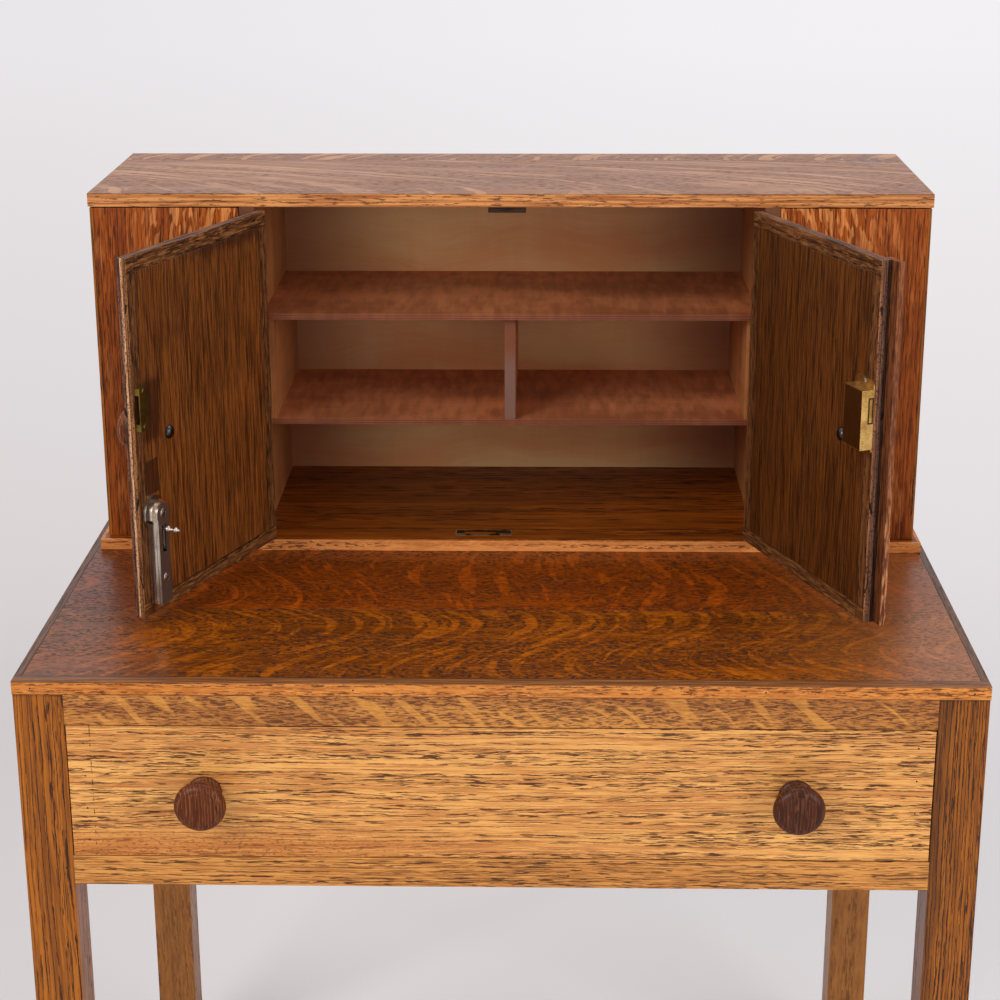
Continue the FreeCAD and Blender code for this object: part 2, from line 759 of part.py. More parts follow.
def lock():
    """Box of the lock on its screwed plate, with its bolt and drill pin."""
    x0 = along(lock_setback)
    x1 = x0 + lock_width
    low = tabletop + lock_bottom
    high = low + lock_height
    y0 = door_inner_face
    y1 = y0 + lock_depth
    plate_low = low - lock_plate_below
    plate_high = high + lock_plate_above
    plate = block(x0, x1 + lock_plate_margin, y0, y0 + lock_plate_thickness, plate_low, plate_high)
    level = [edge for edge in plate.Edges
             if abs(edge.Vertexes[0].Y - edge.Vertexes[-1].Y) > lock_plate_thickness / 2
             and abs(edge.Vertexes[0].Z - edge.Vertexes[-1].Z) < lock_wall]
    plate = plate.makeChamfer(lock_plate_corner, level)
    case = plate.fuse(block(x0, x1, y0, y1, low, high))
    hollow = block(x0 + lock_wall, x1 - lock_wall, y0 + lock_plate_thickness, y1 - lock_wall,
                   low + lock_wall, high - lock_wall)
    bolt_low = tabletop + lock_bolt_bottom
    bolt_high = bolt_low + lock_bolt_height
    bolt_y0 = y0 + lock_plate_thickness + lock_bolt_raise
    bolt_y1 = bolt_y0 + lock_bolt_thickness
    gap = lock_bolt_clearance
    slot = block(x0 - overrun, x0 + lock_wall + overrun, bolt_y0 - gap, bolt_y1 + gap,
                 bolt_low - gap, bolt_high + gap)
    key_x = x0 + keyhole_from_edge
    key_z = tabletop + keyhole_above_table
    pin = rod(drill_pin_radius, FreeCAD.Vector(key_x, y0 + lock_plate_thickness, key_z), Y,
              lock_depth - lock_plate_thickness)
    key_way = block(key_x - keyhole_slot_width / 2, key_x + keyhole_slot_width / 2, y0,
                    y0 + lock_plate_thickness, key_z - keyhole_slot_drop,
                    key_z - drill_pin_radius - lock_bolt_clearance)
    case = case.cut(hollow).cut(slot).cut(key_way).fuse(pin).removeSplitter()
    screws = []
    for z in (low - lock_plate_below / 2, high + lock_plate_above / 2):
        screws.append(screw_into_door((x0 + x1) / 2, lock_plate_thickness, z))
    bolt = block(x0, x0 + lock_bolt_length, bolt_y0, bolt_y1, bolt_low, bolt_high)
    return case.cut(Part.makeCompound(screws)), screws, bolt


def keyhole():
    """Keyhole through the door, and the round plate let in around it."""
    x = along(lock_setback + keyhole_from_edge)
    z = tabletop + keyhole_above_table
    start = FreeCAD.Vector(x, cabinet_front - overrun, z)
    through = door_thickness + overrun
    hole = rod(keyhole_radius, start, Y, through)
    leg_cut = block(x - keyhole_slot_width / 2, x + keyhole_slot_width / 2, cabinet_front - overrun,
                    cabinet_front - overrun + through, z - keyhole_slot_drop, z)
    hole = hole.fuse(leg_cut).removeSplitter()
    middle = z - keyhole_slot_drop / 2
    plate = rod(keyhole_plate_radius, FreeCAD.Vector(x, cabinet_front, middle), Y, keyhole_plate_thickness)
    return hole, plate


def build_doors():
    """Pieces of both doors by name, still shut; the left door is mirrored."""
    panel, strips = door_pieces()
    hinges = [hinge_parts(low) for low in hinge_levels()]
    leaves = [parts[1] for parts in hinges]
    recesses = Part.makeCompound([parts[4] for parts in hinges])
    strips = [strips[0], strips[1].cut(recesses), strips[2], strips[3]]
    knob_x = along(knob_from_free_edge)
    knob_z = tabletop + knob_above_table
    knob = facing_front(turned_knob(door_knob_radius), knob_x, cabinet_front, knob_z)
    screw = facing_front(knob_screw(door_thickness), knob_x, cabinet_front, knob_z)
    panel = panel.cut(screw)

    strike, strike_screws = strike_plate()
    case, case_screws = bolt_case()
    fixings = Part.makeCompound(strike_screws + case_screws)
    left = {
        "door_left_panel": [panel.cut(fixings)],
        "door_left_lippings": [piece.cut(fixings) for piece in strips],
        "door_left_hinge_leaves": leaves,
        "door_left_knob": [knob],
        "door_left_knob_screw": [screw],
        "strike_plate": [strike] + strike_screws,
        "bolt_case": [case] + case_screws,
        "bolt_slide": [bolt_slide()],
    }
    left = {name: [mirrored(piece, cabinet_centre) for piece in pieces] for name, pieces in left.items()}

    hole, plate = keyhole()
    case, lock_screws, bolt = lock()
    cuts = Part.makeCompound([hole, plate] + lock_screws)
    right = {
        "door_right_panel": [panel.cut(cuts)],
        "door_right_lippings": [piece.cut(cuts) for piece in strips],
        "door_right_cover_strip": [cover_strip()],
        "door_right_hinge_leaves": leaves,
        "door_right_knob": [knob],
        "door_right_knob_screw": [screw],
        "lock_case": [case] + lock_screws,
        "lock_bolt": [bolt],
        "keyhole_plate": [plate.cut(hole)],
    }
    return left, right


def opened(pieces, side, angle):
    axis = FreeCAD.Vector(cabinet_centre + side * hinge_axis_x, hinge_axis_y, 0)
    turned = []
    for piece in pieces:
        copy = piece.copy()
        copy.rotate(axis, Z, side * angle)
        turned.append(copy)
    return turned


def main():
    pins = panel_pins()
    pin_holes = Part.makeCompound(pins)
    frame = rails()
    for side, side_name in ((-1, "left"), (1, "right")):
        for at_front, end_name in ((True, "front"), (False, "rear")):
            piece = leg(side, at_front, frame)
            save("leg_" + end_name + "_" + side_name, [piece.cut(pin_holes)])
    for name, piece in frame.items():
        save(name, [piece.cut(pin_holes)])
    save("drawer_runners", runners())
    save("drawer_kickers", kickers())
    save("drawer_stops", drawer_stops())
    front_board, rear_board, lippings = table_top()
    save("tabletop_front_board", [front_board.cut(pin_holes)])
    save("tabletop_rear_board", [rear_board])
    save("tabletop_lippings", [piece.cut(pin_holes) for piece in lippings])
    save("panel_pins", pins)
    for name, pieces in drawer().items():
        save(name, pieces)

    board, base_strips = base()
    plate, keep_screws, keep_cut = keep()
    save("cabinet_base_board", [board.cut(keep_cut)])
    save("cabinet_base_lippings", base_strips)
    save("floor_keep", [plate] + keep_screws)
    end, strip, panel, partition = cabinet_sides()
    upper, lower, cheek, divider = shelves()
    hinges = [hinge_parts(low) for low in hinge_levels()]
    recesses = Part.makeCompound([parts[3] for parts in hinges])
    partition = partition.cut(lower).cut(recesses)
    frame_leaves = [piece for parts in hinges for piece in (parts[0], parts[2])]
    frame_leaves = frame_leaves + [mirrored(piece, cabinet_centre) for piece in frame_leaves]
    save("hinge_frame_leaves", frame_leaves)
    for name, piece in (("cabinet_end", end), ("cabinet_front_panel", panel),
                        ("cabinet_partition", partition)):
        save(name + "_right", [piece])
        save(name + "_left", [mirrored(piece, cabinet_centre)])
    save("cabinet_corner_lippings", [strip, mirrored(strip, cabinet_centre)])
    save("cabinet_back", [block(cabinet_centre - cabinet_half, cabinet_centre + cabinet_half,
                                back_panel_front, back, cabinet_floor, cabinet_ceiling)])
    top_board, rear_strip = cabinet_top()
    save("cabinet_top_board", [top_board])
    save("cabinet_top_rear_strip", [rear_strip])
    save("shelf_upper", [upper])
    save("shelf_lower", [lower])
    save("shelf_divider", [divider])
    save("shelf_cheeks", [cheek, mirrored(cheek, cabinet_centre)])
    save("door_stop_block", [stop_block()])

    left, right = build_doors()
    for name, pieces in left.items():
        save(name, opened(pieces, -1, left_door_angle))
    for name, pieces in right.items():
        save(name, opened(pieces, 1, right_door_angle))


main()
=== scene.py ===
import json
import math
from collections import namedtuple

import bmesh
import bpy
from mathutils import Matrix, Vector


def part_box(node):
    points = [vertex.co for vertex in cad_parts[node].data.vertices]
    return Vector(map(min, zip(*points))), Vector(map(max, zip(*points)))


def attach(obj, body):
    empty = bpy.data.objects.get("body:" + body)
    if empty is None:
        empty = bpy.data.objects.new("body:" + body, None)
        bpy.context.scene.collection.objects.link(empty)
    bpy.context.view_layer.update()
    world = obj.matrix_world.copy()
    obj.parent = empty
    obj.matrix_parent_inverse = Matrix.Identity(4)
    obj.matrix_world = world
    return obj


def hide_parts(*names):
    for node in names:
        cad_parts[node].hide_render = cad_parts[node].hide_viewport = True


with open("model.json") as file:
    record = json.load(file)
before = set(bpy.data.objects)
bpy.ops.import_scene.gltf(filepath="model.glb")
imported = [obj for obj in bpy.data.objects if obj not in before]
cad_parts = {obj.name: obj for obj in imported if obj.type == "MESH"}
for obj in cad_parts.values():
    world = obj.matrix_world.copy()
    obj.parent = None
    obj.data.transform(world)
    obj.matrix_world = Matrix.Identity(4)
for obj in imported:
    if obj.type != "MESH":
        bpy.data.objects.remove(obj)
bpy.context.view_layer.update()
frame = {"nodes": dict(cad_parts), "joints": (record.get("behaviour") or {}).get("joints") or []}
nodes = frame["nodes"]
MM = 0.001


def low(node):
    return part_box(node)[0]


def high(node):
    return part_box(node)[1]


# Places taken from the frame
TABLE_TOP = high("tabletop_rear_board")[2]
BOARD_JOINT = high("tabletop_front_board")[1]
CABINET_FRONT = low("cabinet_front_panel_right")[1]
CABINET_CENTRE = (low("cabinet_back")[0] + high("cabinet_back")[0]) / 2
CABINET_CEILING = low("cabinet_top_board")[2]
HINGES = {}
for joint in frame["joints"]:
    if joint["type"] == "hinge":
        angle = max(joint["range_deg"], key=abs)
        HINGES[joint["child"]] = (Vector(joint["pos_m"]), math.radians(angle))
DOOR_THICKNESS = 10.0 * MM
DOOR_FACE = CABINET_FRONT + DOOR_THICKNESS
STRIP_FREE = CABINET_CENTRE - 11.6 * MM
LOCK_X = CABINET_CENTRE + 1.2 * MM
DOOR_TOP = high("door_left_lippings")[2]
DOOR_LOW = low("door_left_lippings")[2]
TABLE_UNDER = low("tabletop_lippings")[2]
TABLE_SIDE = high("tabletop_front_board")[0]
LIPPING_JOINT = low("tabletop_front_board")[1]
CAP_FRONT = low("cabinet_top_board")[1]
LEG_SIDE = high("leg_front_right")[0]
CAP_TOP = high("cabinet_top_board")[2]
CAP_JOINT = high("cabinet_top_board")[1]
BACK_INNER = low("cabinet_back")[1]
DRAWER_LOW = low("drawer_front")[2]
DRAWER_SIDE = high("drawer_front")[0]


def colour(r, g, b):
    """Linear colour from everyday 0 to 255 values."""
    linear = []
    for value in (r, g, b):
        share = value / 255
        linear.append(share / 12.92 if share < 0.04 else ((share + 0.055) / 1.055) ** 2.4)
    return (*linear, 1.0)


Place = namedtuple("Place", "x y z")


class Wire:
    """The output of a node. Sums and products of wires add the maths nodes that work them out."""

    def __init__(self, net, socket):
        self.net, self.socket = net, socket

    def __add__(self, other):
        return self.net.math("ADD", self, other)

    def __sub__(self, other):
        return self.net.math("SUBTRACT", self, other)

    def __rsub__(self, other):
        return self.net.math("SUBTRACT", other, self)

    def __mul__(self, other):
        return self.net.math("MULTIPLY", self, other)

    def __truediv__(self, other):
        return self.net.math("DIVIDE", self, other)

    def __abs__(self):
        return self.net.math("ABSOLUTE", self)

    def step(self, start, end):
        """Rises smoothly from 0 at the start to 1 at the end."""
        node = self.net.add("ShaderNodeMapRange", interpolation_type="SMOOTHSTEP")
        return self.net.fill(node, (self, start, end, 0.0, 1.0))

    def fall(self, start, end):
        """Falls smoothly from 1 at the start to 0 at the end."""
        return 1.0 - self.step(start, end)

    def line(self, place, reach):
        """1 at a place, falling to 0 within the reach on both sides of it."""
        return abs(self - place).fall(reach * 0.25, reach)

    def within(self, middle, half, soft=0.0003):
        return abs(self - middle).fall(half - soft, half + soft)


class Net:
    """A material under construction. Its methods add nodes and return the last one's output;
    values may be wires or numbers, and colours are tuples of everyday 0 to 255 values."""

    def __init__(self, name, world=False):
        self.mat = (bpy.data.worlds if world else bpy.data.materials).new(name)
        self.mat.use_nodes = True
        self.tree = self.mat.node_tree
        self.tree.nodes.clear()
        self.out = self.add("ShaderNodeOutput" + ("World" if world else "Material"))
        if not world:
            self.bsdf = self.add("ShaderNodeBsdfPrincipled")
            self.put(self.out.inputs[0], self.wire(self.bsdf))

    def add(self, kind, **settings):
        node = self.tree.nodes.new(kind)
        for key, value in settings.items():
            setattr(node, key, value)
        return node

    def put(self, socket, value):
        if isinstance(value, Wire):
            self.tree.links.new(value.socket, socket)
        else:
            socket.default_value = value

    def wire(self, node, output=0):
        return Wire(self, node.outputs[output])

    def fill(self, node, values):
        for socket, value in zip(node.inputs, values):
            self.put(socket, value)
        return self.wire(node)

    def set(self, node, values):
        """Values for the named inputs of a node, whose output it returns."""
        for name, value in values.items():
            self.put(node.inputs[name], value)
        return self.wire(node)

    def math(self, operation, *values, clamp=False):
        return self.fill(self.add("ShaderNodeMath", operation=operation, use_clamp=clamp), values)

    def mul_add(self, value, factor, more):
        return self.math("MULTIPLY_ADD", value, factor, more)

    def noise(self, point, scales, seed=0.0, detail=2.0, rough=0.55):
        """Noise at a point whose coordinates are each scaled, then shifted by the seed."""
        parts = [self.mul_add(value, scale, seed) for value, scale in zip(point, scales)]
        vector = self.fill(self.add("ShaderNodeCombineXYZ"), parts)
        return self.set(self.add("ShaderNodeTexNoise"), {
            "Vector": vector, "Scale": 1.0, "Detail": detail, "Roughness": rough})

    def spots(self, point, scales, start, end, *settings):
        """Noise cut to a mask: 0 where it is below the start, 1 above the end."""
        return self.noise(point, scales, *settings).step(start, end)

    def max(self, first, second):
        return self.math("MAXIMUM", first, second)

    def range(self, value, start, end, low_value, high_value):
        return self.fill(self.add("ShaderNodeMapRange"), (value, start, end, low_value, high_value))

    def mix(self, share, first, second, mode="MIX"):
        node = self.add("ShaderNodeMix", data_type="RGBA", blend_type=mode)
        self.put(node.inputs[0], share)
        for socket, value in zip(node.inputs[6:8], (first, second)):
            self.put(socket, colour(*value) if isinstance(value, tuple) else value)
        return self.wire(node, 2)

    def place(self, door=None):
        """Object coordinates in metres; on a door they are turned to its shut position."""
        vector = self.wire(self.add("ShaderNodeTexCoord"), "Object")
        if door:
            axis, angle = HINGES[door]
            vector = self.fill(self.add("ShaderNodeVectorMath", operation="SUBTRACT"), (vector, axis))
            turn = self.add("ShaderNodeVectorRotate", rotation_type="Z_AXIS")
            turn.inputs["Angle"].default_value = angle
            vector = self.fill(turn, (vector,))
            vector = self.fill(self.add("ShaderNodeVectorMath", operation="ADD"), (vector, axis))
        split = self.add("ShaderNodeSeparateXYZ")
        self.put(split.inputs[0], vector)
        return Place(*(Wire(self, output) for output in split.outputs))

    def bump(self, height, depth, strength=0.6):
        normal = self.set(self.add("ShaderNodeBump"), {
            "Strength": strength, "Distance": depth, "Height": height})
        self.set(self.bsdf, {"Normal": normal})


def oak(name, axes, light, dark, pore, door=None, swap=None, fibre=(16, 420), fibre_share=0.65,
        band=(2, 60), contrast=1.0, spacing=6.5, ring_share=0.75, ring_gate=(0.76, 0.97),
        torn=(50, 300), torn_gate=(0.42, 0.52), rows=(1.5, 230), row_gate=(0.42, 0.54),
        pores=(60, 880), gate=(0.54, 0.6), fleck=None, fleck_colour=None, fleck_share=0.8,
        extra=None, rough=0.4, coat=0.08, specular=0.22, seed=0.0, tone=0.3, strength=0.85,
        depth=0.12, sway=0.012, rag=0.0):
    """Oak: growth bands, fine fibre, broken late-wood lines (spacing in mm), open pores in rows
    as dark dashes, and flecks that cross the grain."""
    net = Net(name)
    at = net.place(door)
    u, v, w = (getattr(at, axis) for axis in axes)
    if swap:
        across = (v - u) * swap(net, at)
        u, v = u + across, v - across
    straight = v

    def grain(scales, shift, detail=1.0, soft=0.55, deep=1.0):
        """Noise with a scale along the grain and one across it; deep is the share of that one
        into the depth."""
        along, across = scales
        return net.noise((u, v, w), (along, across, across * deep), seed + shift, detail, soft)

    v = net.mul_add(grain((2.6, 9), 3.1), sway, v)
    v = net.mul_add(grain((30, 60), 13.3), sway * 0.15, v)
    if rag:
        v = net.mul_add(grain((170, 320), 17.7, 2.0, 0.6), rag, v)
    fine = grain(fibre, 0.0, 4.0, 0.72, 0.7)
    bands = grain(band, 7.3, 3.0, deep=0.6)
    value = fine * fibre_share + bands * (1.0 - fibre_share)
    value = value.step(0.5 - 0.13 / contrast, 0.5 + 0.13 / contrast)
    shade = net.mix(value, dark, light)
    patch = grain((3, 8), 11.9, 3.0).step(0.35, 0.65)
    shade = net.mix(patch * tone, shade, dark)
    wave = net.noise((u, v, w), (1.5, 34, 24), seed + 31.0)
    phase = net.mul_add(wave, 3.0, v * (1000 / spacing) + w * (360 / spacing))
    ring = net.math("SINE", phase * (2 * math.pi))
    late = ring.step(*ring_gate) * grain(torn, 35.0, 2.0, 0.6, 0.7).step(*torn_gate)
    dash = (grain(pores, 1.7, 1.0, 0.5, 0.7).step(*gate)
            * grain(rows, 5.5, deep=0.7).step(*row_gate))
    if fleck:
        mask = fleck(net, u, straight, w)
        tinged = net.mix(net.mul_add(value, 0.5, 0.5), shade, fleck_colour)
        shade = net.mix(mask * fleck_share, shade, tinged)
        clear = 1.0 - mask * 0.75
        dash = dash * clear
        late = late * clear
    shade = net.mix(late * ring_share, shade, pore)
    shade = net.mix(dash * strength, shade, pore)
    if extra:
        shade = extra(net, at, shade)
    gloss = net.mul_add(grain((14, 22), 2.2, 3.0), 0.2, rough - 0.1)
    net.set(net.bsdf, {
        "Base Color": shade, "Roughness": net.mul_add(dash, 0.2, gloss),
        "Specular IOR Level": specular, "Coat Weight": coat, "Coat Roughness": 0.24})
    net.bump(fine * 0.35 - dash, depth * MM)
    return net.mat


# Flecks: smooth light patches that cross the grain of quarter-sawn oak

def slanting(slope, spacing, length, start, end, seed=0.0, wave=0.9):
    """Bands along lines of equal u + slope * v, broken up along their run."""
    def mask(net, u, v, w):
        wander = net.noise((u, v, w), (30, 30, 30), seed + 6.2)
        run = net.mul_add(wander, spacing * wave, net.mul_add(v, slope, u))
        return net.spots((run, v, w), (1 / spacing, 1 / length, 3), start, end, seed, 1.5, 0.5)
    return mask


def winding(crest, half, reach, spacing, seed, start=0.5, end=0.6, jitter=0.02):
    """Nested thin bands that swing from side to side; each pair holds the values at left and right."""
    def mask(net, u, v, w):
        top = net.range(u, -0.4, 0.4, *crest)
        step = net.range(u, -0.4, 0.4, *half)
        swing = net.range(u, -0.4, 0.4, *reach)
        run = u - swing * net.math("COSINE", (top - v) / step * math.pi)
        wander = net.noise((u, v, w), (12, 16, 16), seed + 4.4)
        run = net.mul_add(wander, jitter, run)
        spot = net.spots((run, v, w), (1 / spacing, 14, 3), start, end, seed, 2.0, 0.6)
        torn = net.noise((u, v, w), (120, 160, 3), seed + 9.0, 2.0, 0.6)
        return spot * net.range(torn, 0.4, 0.6, 0.45, 1.0)
    return mask


def cap_flecks(net, u, v, w):
    """Thin rays on the cabinet's top board that sweep to the right and steepen towards its front
    edge, and short bowed ones on its rear part."""
    behind = v - CAP_FRONT
    sweep = behind * net.mul_add(behind, 9.0, 0.4)
    wander = net.noise((u, v, w), (9, 16, 16), 4.0)
    run = net.mul_add(wander, 0.05, u + sweep)
    rays = net.noise((run, v, w), (50, 7, 3), 7.0, 2.0, 0.6)
    fading = net.noise((u, v, w), (7, 24, 3), 21.0)
    rays = rays.step(0.54, 0.585) * net.range(fading, 0.36, 0.6, 0.3, 1.0)
    back = v - CAP_JOINT
    run = net.mul_add(wander, 0.03, u - back * back * 14.0)
    bowed = net.spots((run, v, w), (85, 9, 3), 0.54, 0.6, 3.0)
    rear = back.step(-0.001, 0.001)
    return bowed * rear + rays * (1.0 - rear)


def strongest(net, first, *others):
    """The largest of several wires."""
    for other in others:
        first = net.max(first, other)
    return first


def grime(lines, shade_to, strength=0.7):
    """Darker line kept along joints: each entry is an axis letter, a place and a reach."""
    def extra(net, at, shade):
        mottle = net.spots(at, (45, 45, 45), 0.25, 0.7, 8.8, 3.0, 0.6) * strength
        for axis, place, reach in lines:
            edge = getattr(at, axis).line(place, reach)
            shade = net.mix(edge * mottle, shade, shade_to)
        return shade
    return extra


def top_edges(net, at, shade):
    """Lippings of the desk top: worn dark upper faces, with the joint line beside the boards."""
    upper = at.z.step(TABLE_TOP - 0.0016, TABLE_TOP - 0.0004)
    worn = net.mix(net.spots(at, (14, 500, 500), 0.4, 0.62, 2.0), (76, 44, 22), (142, 88, 48))
    shade = net.mix(upper * 0.9, shade, worn)
    behind = at.y.step(LIPPING_JOINT - 0.0004, LIPPING_JOINT)
    sides = abs(at.x).step(TABLE_SIDE - 0.0008, TABLE_SIDE + 0.0002) * behind
    outer = net.mix(net.spots(at, (500, 14, 500), 0.4, 0.62, 6.0), (56, 34, 20), (118, 74, 44))
    shade = net.mix(sides * 0.9, shade, outer)
    side_line = abs(at.x).line(TABLE_SIDE, 0.0012) * behind
    both = net.max(at.y.line(LIPPING_JOINT, 0.0014), side_line)
    shade = net.mix(both * 0.75, shade, (30, 16, 8))
    under = at.z.line(TABLE_UNDER, 0.0008)
    return net.mix(under * 0.6, shade, (60, 32, 16))


def leg_tones(side):
    """Front legs are darkest under the top; the right one is dark along its inner side too."""
    def extra(net, at, shade):
        shade = grime([("z", TABLE_UNDER, 0.003)], (48, 26, 8))(net, at, shade)
        if side == "right":
            wander = net.noise(at, (3, 3, 12), 2.0)
            inner = net.mul_add(wander - 0.5, 0.03, LEG_SIDE - at.x)
            shade = net.mix(inner.step(0.022, 0.04) * 0.45, shade, (52, 26, 8))
            shade = net.mix(0.05, shade, (56, 26, 8))
        return shade
    return extra


def rear_leg_tones(net, at, shade):
    """The left rear leg is a little darker than the right one."""
    return net.mix(at.x.fall(-0.1, 0.1) * 0.16, shade, (66, 38, 16))


def lipping_turn(net, at):
    """The side lippings run from front to back, the front one from side to side."""
    sides = abs(at.x).step(TABLE_SIDE - 0.0002, TABLE_SIDE)
    return sides * at.y.step(LIPPING_JOINT - 0.0002, LIPPING_JOINT)


def drawer_marks(net, at, shade):
    """The drawer front: a redder, speckled lower left part, and the dotted rows of its pins."""
    lower = at.z.fall(DRAWER_LOW + 0.010, DRAWER_LOW + 0.034)
    red = lower * at.x.fall(-0.22, 0.05) * 0.5
    shade = net.mix(red, shade, (188, 106, 40))
    speck = net.spots((at.x, at.z, at.y), (240, 420, 3), 0.56, 0.62, 17.0, 2.0, 0.6) * red
    shade = net.mix(speck, shade, (84, 36, 16))
    dots = net.spots((at.x, at.z, at.y), (30, 260, 3), 0.46, 0.56, 5.0, 1.0)
    edge = at.x.line(0.0205 - DRAWER_SIDE, 0.0008) * dots
    return net.mix(edge * 0.75, shade, (52, 28, 14))


def cabinet_top_edge(net, at, shade):
    """The front edge of the cabinet top is clear golden oak with dark cracks along it."""
    front = at.y.fall(CAP_FRONT + 0.0004, CAP_FRONT + 0.0012)
    below = at.z.fall(CAP_TOP - 0.0012, CAP_TOP - 0.0004)
    upright = (at.x, at.z, at.y)
    fine = net.spots(upright, (10, 420, 3), 0.36, 0.64, 3.0)
    crack = net.spots(upright, (70, 520, 3), 0.545, 0.6, 9.0, 4.0, 0.7)
    gold = net.mix(crack * 0.85, net.mix(fine, (168, 98, 48), (222, 150, 84)), (82, 42, 24))
    shade = net.mix(front * below, shade, gold)
    seam = at.y.line(CAP_JOINT, 0.002) * at.z.step(CAP_TOP - 0.0012, CAP_TOP - 0.0004)
    shade = net.mix(seam * 0.35, shade, (96, 66, 48))
    corner = at.x.step(0.31, 0.38) * at.y.step(CAP_JOINT - 0.12, CAP_JOINT - 0.05)
    worn = corner * net.spots(at, (50, 26, 3), 0.5, 0.66, 12.0, 3.0, 0.6)
    return net.mix(worn * 0.5, shade, (64, 42, 32))


def panel_flecks(side):
    """Upright orange flakes in the upper inner part of the cabinet's front panels."""
    def mask(net, u, v, w):
        wander = net.noise((u, v, w), (30, 60, 60), 6.2)
        lean = net.mul_add(wander, 0.004, net.mul_add(u, 0.16 * side, v))
        spot = net.spots((u, lean, w), (44, 190, 20), 0.5, 0.56, 4.0 + side, 1.0, 0.5)
        upper = u.step(CABINET_CEILING - 0.11, CABINET_CEILING - 0.01)
        high_part = upper * abs(v - CABINET_CENTRE).fall(0.33, 0.39)
        low_part = net.spots((u, lean, w), (20, 90, 20), 0.6, 0.68, 9.0, 1.0) * 0.35
        return net.max(spot * high_part, low_part)
    return mask


def panel_foot(net, at, shade):
    """The front panels are browner away from their flaked upper part, the left one more so."""
    down = at.z.fall(CABINET_CEILING - 0.14, CABINET_CEILING - 0.02)
    share = net.range(at.x, -0.1, 0.1, 0.36, 0.18)
    return net.mix(down * share, shade, (76, 34, 6))


# Layers of a door's edge, from its outer face inwards, each with a dark and a light tone, and
# where one layer gives way to the next, as shares of the door's thickness
DOOR_LAYERS = {
    "left": (((64, 40, 30), (122, 86, 68)), ((176, 122, 82), (216, 162, 118)),
             ((92, 54, 30), (150, 100, 62))),
    "right": (((34, 20, 14), (74, 48, 34)), ((84, 54, 40), (126, 88, 68)),
              ((120, 72, 46), (170, 112, 78)))}
LAYER_JOINTS = {"left": ((0.36, 0.42), (0.56, 0.62)), "right": ((0.34, 0.42), (0.8, 0.88))}


def door_edges(side):
    """Layered edges of a door, the darker rim of its inner face and old nail holes."""
    def extra(net, at, shade):
        away = abs(at.x - CABINET_CENTRE)
        edge = away.fall(0.0007, 0.0012)
        above = at.z.step(DOOR_TOP - 0.0009, DOOR_TOP - 0.0004)
        ragged = net.noise(at, (60, 3, 60), 13.0, 3.0, 0.6)
        layer = net.mul_add(ragged - 0.5, 0.14, (at.y - CABINET_FRONT) / DOOR_THICKNESS)
        fine = net.spots(at, (300, 900, 30), 0.4, 0.6, 3.0)
        dots = net.spots(at, (420, 600, 420), 0.54, 0.6, 7.0, 2.0, 0.6)
        stack, *inner_layers = (net.mix(fine, dark, light) for dark, light in DOOR_LAYERS[side])
        for joint, inner_layer in zip(LAYER_JOINTS[side], inner_layers):
            stack = net.mix(layer.step(*joint), stack, inner_layer)
        stack = net.mix(dots * 0.7, stack, (38, 22, 16))
        stack = net.mix(net.spots(at, (3, 190, 60), 0.7, 0.73, 19.0, 0.0) * 0.9, stack, (14, 8, 6))
        shade = net.mix(edge, shade, stack)
        lines = net.spots(at, (16, 520, 30), 0.42, 0.56, 23.0, 3.0, 0.7)
        shade = net.mix(above * (1.0 - edge), shade, net.mix(lines, (34, 20, 14), (122, 82, 60)))
        face = at.y.step(DOOR_FACE - 0.0008, DOOR_FACE - 0.0003)
        upright = net.noise((at.x, at.z, at.y), (420, 60, 3), 41.0, 3.0, 0.65)
        level = net.noise((at.x, at.z, at.y), (60, 420, 3), 43.0, 3.0, 0.65)
        turned = door_swap(net, at)
        speckle = level * turned + upright * (1.0 - turned)
        amount = net.mul_add(turned, 0.25, 0.3 if side == "left" else 0.15)
        gold = speckle.step(0.52, 0.62) * face * amount
        shade = net.mix(gold, shade, (176, 118, 66))
        rim = strongest(net, away.line(0.0144, 0.0016), at.z.line(DOOR_TOP - 0.014, 0.0018),
                        at.z.line(DOOR_LOW + 0.014, 0.0018))
        return net.mix(rim * face * 0.4, shade, (34, 18, 10))
    return extra


def strip_edge(net, at, shade):
    """The cover strip has painted shade on its back face and is pale along its free edge."""
    side = at.x.fall(STRIP_FREE + 0.0004, STRIP_FREE + 0.0009)
    fine = net.noise((at.y, at.y, at.z), (500, 500, 60), 3.0, 3.0, 0.6)
    worn = at.z.fall(TABLE_TOP + 0.03, TABLE_TOP + 0.2)
    bright = net.mix(worn, (150, 92, 58), (214, 146, 102))
    pale = net.mix(fine.step(0.44, 0.6), (104, 58, 36), bright)
    behind = at.y.step(CABINET_FRONT - 0.0007, CABINET_FRONT - 0.0003)
    dark = net.mix(net.spots(at, (620, 620, 50), 0.4, 0.58, 11.0, 3.0, 0.65), (34, 17, 10), (112, 64, 36))
    # Painted shade on the back face of the cover strip
    shade = net.mix(behind * 0.8, shade, dark)
    return net.mix(side * 0.9, shade, pale)


def joints_and_painted_light(lines, shade_to):
    """Joint lines of the desk top, with painted light on its right end and painted shade that dulls its
    left end.
    """
    joints = grime(lines, shade_to)

    def extra(net, at, shade):
        shade = joints(net, at, shade)
        # Painted light on the right end of the desk top
        shade = net.mix(at.x.step(0.2, 0.42) * 0.34, shade, (186, 118, 66))
        # Painted shade that dulls the left end of the desk top
        return net.mix(at.x.fall(-0.42, -0.24) * 0.3, shade, (84, 50, 28))
    return extra


def door_swap(net, at):
    """1 on the upper and lower lippings of a door, whose grain runs across its panel's."""
    high_strip = at.z.step(DOOR_TOP - 0.0142, DOOR_TOP - 0.0138)
    low_strip = at.z.fall(DOOR_LOW + 0.0138, DOOR_LOW + 0.0142)
    return net.math("ADD", high_strip, low_strip, clamp=True)


